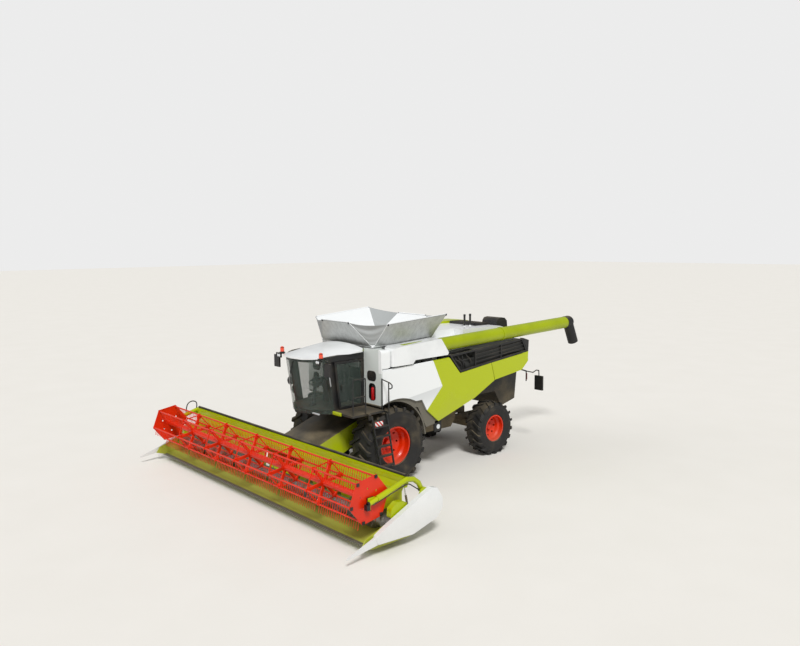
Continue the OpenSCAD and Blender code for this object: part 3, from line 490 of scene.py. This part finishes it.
slat = plate("intake_slats", (-0.44, 4.28, 3.850), (0.58, 4.30, 3.856), edge=0.002)
intake_slats = repeat(slat, [(0, k * SLAT_PITCH, -k * SLAT_FALL) for k in range(SLATS)])
fit(intake_slats, "chassis", black_plastic)

caps = [turned("stack_cap", CAP_RINGS, (x, y, CAP_FOOT)) for x, y in STACK_PLACES]
fit(joined("stack_caps", caps), "chassis", black_plastic)

hose_rubber = moulded("hose_rubber", HOSE_BLACK, rough=0.6, dust=0.5)
hoses = []
for y0, z0, y1, z1 in HOSE_ENDS:
    middle = (1.56, (y0 + y1) / 2, (z0 + z1) / 2)
    hoses.append(tube("hose", [(1.53, y0, z0), (1.565, y0 + 0.02, z0 - 0.12), middle,
                               (1.565, y1 - 0.02, z1 + 0.1), (1.53, y1, z1)], HOSE_RADIUS))
fit(both_sides(joined("side_hoses", hoses)), "chassis", hose_rubber)

# Grain tank and its flaps.
# The hopper and its hinged flaps are galvanised sheet, painted white inside. A round bar is
# welded along each flap's upper edge and stiffens it.
ZINC = "AAACAB"
BAR_ZINC = "6E7172"
SPANGLE = 38.0
PALER = 1.45
FLAP_BAR = 0.013


def galvanised(name, code, rough=0.42):
    """Zinc with spangles and faint streaks where it faces down, white paint where it faces up."""
    finish = Finish(name)
    spangle = finish.place.node("TexVoronoi", {"Vector": finish.place, "Scale": SPANGLE})
    streak = finish.place.stretched(3.0, 3.0, 0.5).noise(3.0, 5.0)
    colour = tone(code)
    pale = tuple(min(1.0, c * PALER) for c in colour[:3]) + (1.0,)
    mottled = (spangle * 0.3 + streak * 0.9).ramp(0.25, 0.85)
    inside = finish.facing.axis(2).ramp(0.02, 0.12)
    base = inside.blend(mottled.blend(colour, pale), tone(WHITE))
    return finish.feed(base_color=base, metallic=(1 - inside) * 0.7,
                       roughness=streak * 0.2 + rough, normal=streak.bump(0.002, 0.25))


coat_nodes(galvanised("galvanised_sheet", ZINC), "grain_tank", "tank_flap_front",
           "tank_flap_rear", "tank_flap_left", "tank_flap_right")
bar_zinc = galvanised("bar_zinc", BAR_ZINC, rough=0.5)
FLAP_BARS = (("front", (-0.57, -0.665, 4.240), (0.57, -0.665, 4.240)),
             ("rear", (-0.57, 2.155, 4.240), (0.57, 2.155, 4.240)),
             ("left", (1.560, -0.165, 4.222), (1.660, 1.905, 4.365)),
             ("right", (-1.560, -0.165, 4.222), (-1.660, 1.905, 4.365)))
for name, start, end in FLAP_BARS:
    flap_bar = tube(f"flap_bar_{name}", [start, end], FLAP_BAR, soft=False)
    fit(flap_bar, f"flap_{name}", bar_zinc)

# Flap brackets.
# Small black cast brackets at the flaps' upper corners hold the ends of the stiffening bars and
# the corners of the cloth.
BRACKET_HALF = 0.017
BRACKET_BELOW = 0.04
BRACKET_ABOVE = 0.014
FLAP_CORNERS = (("front", (-0.575, -0.668, 4.242)), ("front", (0.575, -0.668, 4.242)),
                ("rear", (-0.575, 2.158, 4.242)), ("rear", (0.575, 2.158, 4.242)),
                ("left", (1.566, -0.150, 4.226)), ("left", (1.658, 1.885, 4.360)),
                ("right", (-1.566, -0.150, 4.226)), ("right", (-1.658, 1.885, 4.360)))
for name, (x, y, z) in FLAP_CORNERS:
    bracket = plate(f"corner_bracket_{name}",
                    (x - BRACKET_HALF, y - BRACKET_HALF, z - BRACKET_BELOW),
                    (x + BRACKET_HALF, y + BRACKET_HALF, z + BRACKET_ABOVE), edge=0.006)
    fit(bracket, f"flap_{name}", black_plastic)

# Corner gussets.
# Coated cloth sewn between the edges of neighbouring flaps. Each is a flat cut that widens
# upwards and hangs under its own weight. It is carried by the front or rear flap and goes down
# with it as the flaps close.
CLOTH_GREY = ("9DA0A0", "ACAFAE")
FRONT_GUSSET = ((1.037, -0.311, 3.651), (0.586, -0.664, 4.239),
                (1.554, -0.163, 4.220), (1.164, -0.253, 3.663))
REAR_GUSSET = ((1.037, 1.801, 3.651), (0.586, 2.154, 4.239),
               (1.655, 1.896, 4.364), (1.164, 1.758, 3.663))
CLOTH_CUTS = 17
CLOTH_SLACK = 0.006
SEAM_REACH = 0.002
HANG_FRAMES = 30


def hanging_gusset(name, corners):
    """A cloth with four corners, held along its lower edge and both seams."""
    low_near, near, far, low_far = [Vector((x, y + AXLE_Y, z)) for x, y, z in corners]
    bpy.ops.object.select_all(action="DESELECT")
    bpy.ops.mesh.primitive_circle_add(vertices=4, fill_type="NGON")
    sheet = bpy.context.object
    sheet.name = name
    for corner, place in zip(sheet.data.vertices, (low_near, near, far, low_far)):
        corner.co = place
    bpy.ops.object.mode_set(mode="EDIT")
    bpy.ops.mesh.select_all(action="SELECT")
    bpy.ops.mesh.subdivide(number_cuts=CLOTH_CUTS)
    bpy.ops.object.mode_set(mode="OBJECT")
    held = sheet.vertex_groups.new(name="held")
    for vertex in sheet.data.vertices:
        for low, end in ((low_near, near), (low_far, far), (low_near, low_far)):
            seam = end - low
            along = (vertex.co - low).dot(seam) / seam.length_squared
            if (vertex.co - low - seam * along).length < SEAM_REACH:
                held.add([vertex.index], 1.0, "REPLACE")
    cloth = sheet.modifiers.new("hang", "CLOTH")
    cloth.settings.quality = 6
    cloth.settings.mass = 0.4
    cloth.settings.vertex_group_mass = "held"
    cloth.settings.shrink_min = -CLOTH_SLACK
    cloth.settings.bending_stiffness = 2.0
    cloth.collision_settings.use_collision = False
    for step in range(HANG_FRAMES):
        scene.frame_set(step + 1)
    bpy.ops.object.modifier_apply(modifier=cloth.name)
    scene.frame_set(1)
    smooth(60)
    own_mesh(sheet)
    return sheet


cloth_finish = wavering("gusset_cloth", CLOTH_GREY, 300.0, roughness=0.75)
for end, corners in (("front", FRONT_GUSSET), ("rear", REAR_GUSSET)):
    for side, turn in (("left", 1), ("right", -1)):
        gusset = hanging_gusset(f"gusset_{end}_{side}", [(x * turn, y, z) for x, y, z in corners])
        fit(gusset, f"flap_{end}", cloth_finish.material)
        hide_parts("tank_gussets")

# Cab.
# A black steel frame carries a curved tinted screen, bonded in, and a thin-lipped white roof over
# a dark lining. Grey light bars stand at the screen's sides and a wiper hangs in front of it.
CAB_TRIM = "26272A"
LINING = "101112"
GLASS_GREEN = "56635C"
SATIN_GREY = "B9BDBE"
coat_nodes(paint("roof_paint", WHITE, rough=0.25, dust=0.15, under=LINING), "cab_roof")
trim_plastic = moulded("cab_trim", CAB_TRIM, rough=0.65, dust=0.1)
coat_nodes(trim_plastic, "cab_interior")

glass = Finish("tinted_glass", ior=1.45, base_color=tone(GLASS_GREEN), alpha=0.24)
glass.feed(roughness=glass.place.noise(4.0).ramp(0.4, 0.9) * 0.08 + 0.02)
coat_nodes(glass.material, "cab_glass", "cab_door_glass")

satin_grey = paint("satin_grey", SATIN_GREY, rough=0.4, dust=0.1)
light_bar = tube("light_bar", [(0.875, -1.50, 2.70), (0.875, -1.585, 3.26)], 0.014, soft=False)
fit(both_sides(light_bar), "chassis", satin_grey)
wiper_arm = tube("arm", [(0.05, -2.075, 3.33), (-0.18, -2.03, 2.88)], 0.009, soft=False)
wiper_blade = tube("blade", [(-0.14, -2.03, 3.14), (-0.20, -2.005, 2.82), (-0.24, -1.955, 2.50)],
                   0.008)
fit(joined("wiper", [wiper_arm, wiper_blade]), "chassis", black_plastic)
foot_lamp = plate("foot_lamp", (0.52, -1.842, 1.99), (0.80, -1.80, 2.03), edge=0.012)
fit(foot_lamp, "chassis", satin_grey)

# Seat and controls.
# Foam pads under dark woven cloth make the seat; its back leans a little. Beside it stands a
# moulded arm rest that carries the drive stalk and a flat terminal.
SEAT_CLOTH = ("232427", "3C3E42")
PAD_PRESSURE = 5.0
PAD_FRAMES = 12
PINNED_SHARE = 0.47


def cushion(name, low, high, lean):
    """A padded block with soft edges whose broad faces are crowned."""
    piece = plate(name, low, high, edge=0.035, steps=5)
    bpy.ops.object.mode_set(mode="EDIT")
    bpy.ops.mesh.select_all(action="SELECT")
    bpy.ops.mesh.quads_convert_to_tris()
    bpy.ops.mesh.subdivide(number_cuts=3)
    bpy.ops.object.mode_set(mode="OBJECT")
    centre = sum((v.co for v in piece.data.vertices), Vector()) / len(piece.data.vertices)
    pin = piece.vertex_groups.new(name="pin")
    thin = min(range(3), key=lambda axis: high[axis] - low[axis])
    broad = [axis for axis in range(3) if axis != thin]
    for vertex in piece.data.vertices:
        shares = [abs(vertex.co[axis] - centre[axis]) / (high[axis] - low[axis]) for axis in broad]
        if max(shares) > PINNED_SHARE:
            pin.add([vertex.index], 1.0, "REPLACE")
    pad = piece.modifiers.new("pad", "CLOTH")
    pad.settings.use_pressure = True
    pad.settings.uniform_pressure_force = PAD_PRESSURE
    pad.settings.vertex_group_mass = "pin"
    pad.settings.effector_weights.gravity = 0
    pad.collision_settings.use_collision = False
    for step in range(PAD_FRAMES):
        scene.frame_set(step + 1)
    bpy.ops.object.modifier_apply(modifier=pad.name)
    scene.frame_set(1)
    piece.rotation_euler = (math.radians(lean), 0, 0)
    foot = Vector((0, high[1] + AXLE_Y, low[2]))
    piece.location = foot - piece.rotation_euler.to_matrix() @ foot
    settle(name)
    smooth(60)
    return piece


seat_cloth = Finish("seat_cloth", roughness=0.9)
weave = seat_cloth.place.noise(420.0, 2.0)
seat_cloth.feed(base_color=weave.blend(*[tone(code) for code in SEAT_CLOTH]),
                normal=weave.bump(0.0008, 0.5))
for piece in (cushion("seat_cushion", (-0.27, -0.97, 2.46), (0.27, -0.50, 2.60), 0),
              cushion("seat_back", (-0.25, -0.64, 2.60), (0.25, -0.50, 3.18), -5)):
    fit(piece, "chassis", seat_cloth.material)
screen_box = plate("terminal", (0.36, -1.36, 2.58), (0.62, -1.31, 2.80), edge=0.012)
arm_rest = plate("arm_rest", (0.30, -1.18, 2.56), (0.44, -0.62, 2.63), edge=0.025, steps=4)
stalk = tube("stalk", [(0.37, -1.1, 2.6), (0.45, -1.3, 2.66)], 0.015, soft=False)
controls = joined("driver_controls", [screen_box, arm_rest, stalk])
fit(controls, "chassis", trim_plastic)

# Lamps.
# Beacons stand under orange domes and work lights sit at the roof's corners. The rear lamps have
# moulded red and amber lenses, clipped into their black housings.
CLEAR_LENS = ("C9CED0", "E8ECEE")
AMBER_LENS = ("E0341A", "F0562C")
RED_LENS = ("7C0C0A", "A8150F")
DOME_RINGS = [(0.054, 0.0), (0.054, 0.075), (0.050, 0.10), (0.038, 0.124), (0.018, 0.134)]
WORK_LENS_RINGS = [(0.036, 0.0), (0.036, 0.008), (0.028, 0.012)]
WORK_LENS_PITCH = 0.066

clear = wavering("clear_lens", CLEAR_LENS, 80.0, roughness=0.08, coat_weight=0.8)
amber = wavering("beacon_dome", AMBER_LENS, 14.0, coat_weight=1.0)
amber.feed(roughness=amber.place.noise(5.0) * 0.2)
red = wavering("red_lens", RED_LENS, 30.0, coat_weight=1.0)
red.feed(roughness=red.place.noise(9.0) * 0.25)

dome = turned("beacon_domes", DOME_RINGS, (0.87, -1.79, 3.455))
fit(both_sides(dome), "chassis", amber.material)
work_lens = turned("work_lenses", WORK_LENS_RINGS, (0.838, -1.898, 3.358), axis="-Y", sides=24)
work_lens = repeat(work_lens, [(0, 0, 0), (WORK_LENS_PITCH, 0, 0)])
fit(both_sides(work_lens), "chassis", clear.material)
tail = plate("tail", (1.68, 5.918, 1.80), (1.78, 5.930, 2.08), edge=0.006)
reflector = plate("reflector", (1.345, 5.818, 2.00), (1.395, 5.826, 2.20), edge=0.003)
tail_lenses = joined("tail_lenses", [tail, reflector])
fit(both_sides(tail_lenses), "chassis", red.material)
turn_signal = plate("turn_lenses", (1.82, 5.918, 1.80), (1.92, 5.930, 2.08), edge=0.006)
fit(both_sides(turn_signal), "chassis", amber.material)

# Behind the front wheels.
# A pale disc and a black rubber mud flap are bolted to the lower end of each wheel arch.
DISC_RINGS = [(0.062, 0.0), (0.066, 0.012), (0.048, 0.020), (0.046, 0.014)]
disc = turned("arch_discs", DISC_RINGS, (1.562, 1.66, 1.24), axis="X")
mud_flap = plate("mud_flaps", (1.520, 1.52, 1.10), (1.560, 1.80, 1.42), edge=0.012)
fit(both_sides(disc), "chassis", clear.material)
fit(both_sides(mud_flap), "chassis", hose_rubber)

# Mirrors.
# Silvered glass, bonded into the housings, faces the cab on both arm mirrors and on the round
# ones of the right post.
SILVER = ("C4CCD0", "DDE3E6")
MIRROR_BACK = -1.760
ROUND_MIRROR_RINGS = [(0.098, -0.002), (0.098, 0.002), (0.085, 0.005)]
ROUND_MIRROR_X = -1.19
ROUND_MIRRORS = ((-1.315, 2.56), (-1.175, 2.30))
silver = wavering("mirror_glass", SILVER, 2.0, metallic=1.0, roughness=0.03)
pane = plate("mirror_panes", (1.025, MIRROR_BACK - 0.001, 3.03),
             (1.245, MIRROR_BACK + 0.003, 3.32), edge=0.001)
fit(both_sides(pane), "chassis", silver.material)
for y, z in ROUND_MIRRORS:
    face = turned("round_mirror", ROUND_MIRROR_RINGS, (ROUND_MIRROR_X, y, z), axis="Y")
    fit(face, "chassis", silver.material)

# Service boxes.
# The boxes beside the tank have grey moulded fronts and white flanks. A black louvre with rounded
# corners is set into each front, above an open bay whose black inside is painted shade.
BOX_GREY = "D3D9D5"
BOX_FLANK = (1.49, 2.98)
BAY_X = (1.08, 1.38)
BAY_Z = (2.22, 2.70)
BAY_FRONT = -0.428
LOUVRE_CORNER = 0.10
SLITS = 8
SLIT_PITCH = 0.024


def box_finish():
    """Grey to the front, white on the outer flank of the upper box, black painted shade inside the
    bay.
    """
    finish = Finish("service_box_paint")
    out = finish.place.axis(0).maths("ABSOLUTE")
    up = finish.place.axis(2)
    flank = (out > BOX_FLANK[0]) * (up > BOX_FLANK[1])
    # Painted shade: the inside of the open bay is black.
    shaded_bay = (out > BAY_X[0]) * (BAY_X[1] > out) * (up > BAY_Z[0]) * (BAY_Z[1] > up)
    shaded_bay = shaded_bay * (finish.place.axis(1) > AXLE_Y + BAY_FRONT)
    cloud = finish.place.noise(CLOUD, 5.0)
    dirt = (cloud + finish.place.noise(GRIT) * 0.3).ramp(0.6, 1.2) * 0.2
    base = shaded_bay.blend(flank.blend(tone(BOX_GREY), tone(WHITE)), tone(BLACK))
    return finish.feed(
        base_color=dirt.blend(base, tone(FIELD_DUST)), roughness=dirt * 0.4 + 0.33,
        normal=finish.place.noise(ORANGE_PEEL, 1.0).bump(PEEL_DEPTH, 0.35))


def round_cornered(name, low, high, corner):
    """A flat moulding whose four corners are rounded, as seen from the front."""
    middle = [(a + b) / 2 for a, b in zip(low, high)]
    middle[1] += AXLE_Y
    bpy.ops.object.select_all(action="DESELECT")
    bpy.ops.mesh.primitive_cube_add(size=1, location=middle,
                                    scale=[b - a for a, b in zip(low, high)])
    piece = settle(name)
    bpy.ops.object.mode_set(mode="EDIT")
    bpy.ops.mesh.select_mode(type="EDGE")
    bpy.ops.mesh.select_all(action="DESELECT")
    bpy.ops.object.mode_set(mode="OBJECT")
    for edge in piece.data.edges:
        start, end = (piece.data.vertices[index].co for index in edge.vertices)
        edge.select = abs(start.y - end.y) > 0.001
    bpy.ops.object.mode_set(mode="EDIT")
    bpy.ops.mesh.bevel(offset=corner, segments=8)
    bpy.ops.mesh.select_mode(type="VERT")
    bpy.ops.object.mode_set(mode="OBJECT")
    smooth()
    return piece


coat_nodes(box_finish(), "service_boxes")
louvre = round_cornered("louvre", (1.035, -0.436, 2.750), (1.390, -0.392, 3.015), LOUVRE_CORNER)
slit = plate("slit", (1.09, -0.442, 2.790), (1.335, -0.432, 2.800), edge=0.002)
slits = repeat(slit, [(0, 0, SLIT_PITCH * k) for k in range(SLITS)])
louvres = both_sides(joined("box_louvres", [louvre, slits]))
fit(louvres, "chassis", black_plastic)
strip = plate("box_strip", (0.862, -0.436, 3.36), (0.885, -0.428, 3.565), edge=0.003)
fit(strip, "chassis", lime_panel)

# Fire extinguisher.
# A drawn steel bottle in red with a black valve and a short rubber hose, strapped into the left
# box's bay.
BOTTLE_RED = "C4161C"
BOTTLE_RINGS = [(0.046, 0.0), (0.054, 0.01), (0.054, 0.28), (0.048, 0.31), (0.032, 0.33),
                (0.018, 0.34), (0.018, 0.36)]
bottle = turned("extinguisher", BOTTLE_RINGS, (1.225, -0.395, 2.25))
fit(bottle, "chassis", paint("extinguisher_red", BOTTLE_RED, rough=0.22, dust=0.1))
valve = plate("valve", (1.205, -0.43, 2.60), (1.265, -0.37, 2.645), edge=0.006)
valve_hose = tube("hose", [(1.26, -0.41, 2.62), (1.33, -0.43, 2.60), (1.335, -0.43, 2.48),
                           (1.315, -0.43, 2.36)], 0.009)
fit(joined("extinguisher_valve", [valve, valve_hose]), "chassis", black_plastic)

# Platform and ladder.
# The steps and the handrails are black steel. A striped sheet plate is riveted to the ladder's
# head, and a lime moulding edges the platform.
STRIPE_WHITE = "E9E9E6"
STRIPE_RED = "C8201A"
STRIPES_PER_METRE = 9.0

stripe_paint = Finish("warning_stripes", roughness=0.35)
slant = stripe_paint.place.axis(1) + stripe_paint.place.axis(2) + stripe_paint.place.axis(0)
stripes = (slant * STRIPES_PER_METRE).maths("FRACT") > 0.5
stripe_paint.feed(base_color=stripes.blend(tone(STRIPE_WHITE), tone(STRIPE_RED)))
ladder_sign = plate("ladder_sign", (1.842, -0.86, 1.66), (1.848, -0.60, 1.83), edge=0.002)
fit(ladder_sign, "ladder", stripe_paint.material)
accent = plate("platform_accent", (0.96, -1.535, 1.99), (1.30, -1.485, 2.085), edge=0.022, steps=5)
fit(accent, "chassis", lime_panel)

# Unloading tube.
# A rolled steel tube in flatter lime paint than the panels. Its end carries a soft black rubber
# spout, held by a clamp.
TUBE_LIME = "9DAC00"
SPOUT_BLACK = "1B1B1C"
coat_nodes(paint("tube_paint", TUBE_LIME, rough=0.36, dust=0.15, coat=0.08), "unloading_tube")
coat_nodes(moulded("spout_rubber", SPOUT_BLACK, rough=0.7, dust=0.4), "tube_spout")

# Wheels.
# Moulded black tyres with field dust in their treads sit on dished steel rims in orange red,
# which are bolted to the hubs.
TYRE_BLACK = "1C1B1A"
WHEEL_RED = "DC2F06"
tyre_rubber = moulded("tyre_rubber", TYRE_BLACK, rough=0.75, dust=0.55)
wheel_red = paint("wheel_paint", WHEEL_RED, rough=0.3, dust=0.3, dust_top=1.2)
for axle in ("front", "rear"):
    for side in ("left", "right"):
        coat_nodes(tyre_rubber, f"{axle}_tyre_{side}")
        coat_nodes(wheel_red, f"{axle}_rim_{side}")

# Feeder house and header table.
# Folded and welded sheet in lime paint, dusty on top. The feeder house's top behind its lip is
# dark painted shade, as under the cab, and a black tube guards the upper edge of the table's back
# wall.
FEEDER_TOP_SHADE = "2B2A26"
FEEDER_LIP = -1.93
EDGE_TUBE = 0.03


def feeder_finish():
    """Lime sides and front lip; the top behind the lip is dark painted shade, as under the cab."""
    finish = Finish("feeder_paint")
    along = finish.place.axis(1) - AXLE_Y
    # Painted shade: the faces that point up, behind the lip, turn dark.
    shaded_top = (finish.facing.axis(2) > 0.3) * (along > FEEDER_LIP)
    cloud = finish.place.noise(CLOUD, 5.0)
    dirt = (cloud + finish.place.noise(GRIT) * 0.35 + shaded_top * 0.15).ramp(0.55, 1.2) * 0.7
    base = shaded_top.blend(tone(LIME), tone(FEEDER_TOP_SHADE))
    return finish.feed(base_color=dirt.blend(base, tone(FIELD_DUST)), roughness=dirt * 0.4 + 0.38)


coat_nodes(feeder_finish(), "feeder_house")
coat_nodes(paint("table_paint", LIME, rough=0.3, dust=0.4, dust_top=0.9), "header_table")
edge_tube = tube("wall_edge_tube", [(-4.6, -2.362, 1.438), (4.6, -2.362, 1.438)], EDGE_TUBE,
                 soft=False)
fit(edge_tube, "header", hose_rubber)
deflector = plate("end_deflectors", (4.30, -2.46, 0.74), (4.56, -2.44, 1.06), edge=0.006)
fit(both_sides(deflector), "header", black_plastic)

# Hoses on the reel's arms.
# Black rubber hydraulic hoses: one stands up in a hoop on the right arm, and a thinner one is
# clipped along the outside of each arm.
HOOP = [(-4.652, -2.43, 1.395), (-4.64, -2.40, 1.56), (-4.62, -2.52, 1.645),
        (-4.62, -2.66, 1.635), (-4.64, -2.76, 1.52), (-4.652, -2.77, 1.305)]
HOOP_RADIUS = 0.016
ARM_HOSE = [(4.70, -1.99, 1.02), (4.705, -2.24, 1.19), (4.70, -2.37, 1.285),
            (4.69, -2.50, 1.27), (4.68, -3.0, 1.13), (4.67, -3.33, 1.045)]
ARM_HOSE_RADIUS = 0.012
fit(tube("reel_hose", HOOP, HOOP_RADIUS), "reel_arms", hose_rubber)
arm_hoses = both_sides(tube("arm_hoses", ARM_HOSE, ARM_HOSE_RADIUS))
fit(arm_hoses, "reel_arms", hose_rubber)

# Reel.
# A welded steel tube with end plates and spiders carries six tine bars, all in orange red. The
# bars turn in black blocks on the end plates, and the reel's own bearings slide on lime tubes.
REEL_RED = "DE2B07"
REEL_CENTRE = (-3.33, 1.13)
REEL_RADIUS = 0.48
FIRST_BAR = 9
BAR_STEP = 60
BARS = range(1, 7)
BLOCK_X = (4.557, 4.580)
BLOCK_HALF = 0.035
SLIDE_END = (4.603, -3.42)


def bar_turn(k):
    """The angle at which bar k stands on the reel, and its place from the front axle."""
    angle = math.radians(FIRST_BAR + BAR_STEP * k)
    y = REEL_CENTRE[0] + REEL_RADIUS * math.cos(angle)
    z = REEL_CENTRE[1] + REEL_RADIUS * math.sin(angle)
    return angle, y, z


reel_red = paint("reel_paint", REEL_RED, rough=0.34, dust=0.3, dust_top=1.0)
coat_nodes(reel_red, "reel_frame", *[f"tine_bar_{k}" for k in BARS])


def bearing_finish():
    """Lime slide tubes with black bearing blocks."""
    finish = Finish("reel_bearing_paint")
    along = finish.place.axis(1) - AXLE_Y
    inner = finish.place.axis(0).maths("ABSOLUTE") < SLIDE_END[0]
    block = inner.maths("MAXIMUM", along < SLIDE_END[1])
    cloud = finish.place.noise(2.0, 4.0).ramp(0.5, 1.0) * 0.3
    base = block.blend(tone(LIME), tone(BLACK))
    return finish.feed(base_color=cloud.blend(base, tone(FIELD_DUST)), roughness=cloud * 0.4 + 0.35)


coat_nodes(bearing_finish(), "reel_bearings")
blocks = []
for k in BARS:
    _, y, z = bar_turn(k)
    blocks.append(plate("bar_block", (BLOCK_X[0], y - BLOCK_HALF, z - BLOCK_HALF),
                        (BLOCK_X[1], y + BLOCK_HALF, z + BLOCK_HALF), edge=0.006))
fit(both_sides(joined("bar_blocks", blocks)), "reel", black_plastic)

# Spiders.
# Each open spider's arm is a folded steel channel with a saddle that grips its tine bar, welded
# to a flange on the reel's tube.
SPIDER_PITCH = 1.5133
SPIDERS = (-2, -1, 0, 1, 2)
FLANGE_RINGS = [(0.105, -0.012), (0.105, 0.012), (0.072, 0.024)]
FLANGE_BESIDE = -0.04
centre = (0, REEL_CENTRE[0] + AXLE_Y, REEL_CENTRE[1])
arms = []
for k in BARS:
    web = plate("arm_channel", (-0.022, REEL_CENTRE[0] + 0.06, REEL_CENTRE[1] - 0.04),
                (0.022, REEL_CENTRE[0] + 0.415, REEL_CENTRE[1] + 0.04), edge=0.008)
    saddle = plate("arm_saddle", (-0.034, REEL_CENTRE[0] + 0.39, REEL_CENTRE[1] - 0.062),
                   (0.034, REEL_CENTRE[0] + 0.455, REEL_CENTRE[1] + 0.062), edge=0.012, steps=3)
    arm = joined("arm", [web, saddle])
    bpy.ops.object.mode_set(mode="EDIT")
    bpy.ops.mesh.select_all(action="SELECT")
    bpy.ops.transform.rotate(value=-bar_turn(k)[0], orient_axis="X", center_override=centre)
    bpy.ops.object.mode_set(mode="OBJECT")
    arms.append(arm)
spider = joined("spider_arms", arms)
fit(repeat(spider, [(SPIDER_PITCH * k, 0, 0) for k in SPIDERS]), "reel", reel_red)
flange = turned("tube_flanges", FLANGE_RINGS, (0, *REEL_CENTRE), axis="X", sides=32)
flanges = repeat(flange, [(SPIDER_PITCH * k + FLANGE_BESIDE, 0, 0) for k in SPIDERS])
fit(flanges, "reel", reel_red)

# Fingers.
# Plastic fingers stand between the bars' main tines, at half their pitch, except where an arm
# holds the bar. Each is moulded round its bar and leans forward at the foot.
TINE_PITCH = 0.150
FINGER_STEPS = [step for step in range(-29, 30) if step % 10]
TINE_LEAN = math.radians(12)
FINGER_HALF = 0.006
FINGER_LENGTH = 0.175
for k in BARS:
    _, y, z = bar_turn(k)
    finger = plate("finger", (-FINGER_HALF, y - FINGER_HALF, z - FINGER_LENGTH),
                   (FINGER_HALF, y + FINGER_HALF, z), edge=0.003, steps=1)
    bpy.ops.object.mode_set(mode="EDIT")
    bpy.ops.mesh.select_all(action="SELECT")
    bpy.ops.transform.rotate(value=TINE_LEAN, orient_axis="X", center_override=(0, y + AXLE_Y, z))
    bpy.ops.object.mode_set(mode="OBJECT")
    fingers = repeat(finger, [(TINE_PITCH * step, 0, 0) for step in FINGER_STEPS])
    fingers.name = f"fingers_{k}"
    fit(fingers, f"tine_bar_{k}", reel_red)

# Auger, knife and cylinder rods.
# Work has polished the auger's flights and the knife's guards to bright steel, scratched
# lengthwise. The lift cylinders' rods are ground and hard chromed.
WORN_STEEL = ("5E5B55", "B4B2AC")
CHROME = ("B8B8B8", "DCDCDC")
worn = Finish("worn_steel", metallic=0.9)
scratches = worn.place.stretched(2.0, 40.0, 40.0).noise(6.0, 4.0)
worn.feed(base_color=scratches.blend(*[tone(code) for code in WORN_STEEL]),
          roughness=scratches * 0.4 + 0.25)
coat_nodes(worn.material, "intake_auger", "cutterbar")
rod_chrome = wavering("rod_chrome", CHROME, 9.0, metallic=1.0, roughness=0.12)
coat_nodes(rod_chrome.material, "lift_rods", "reel_rods")
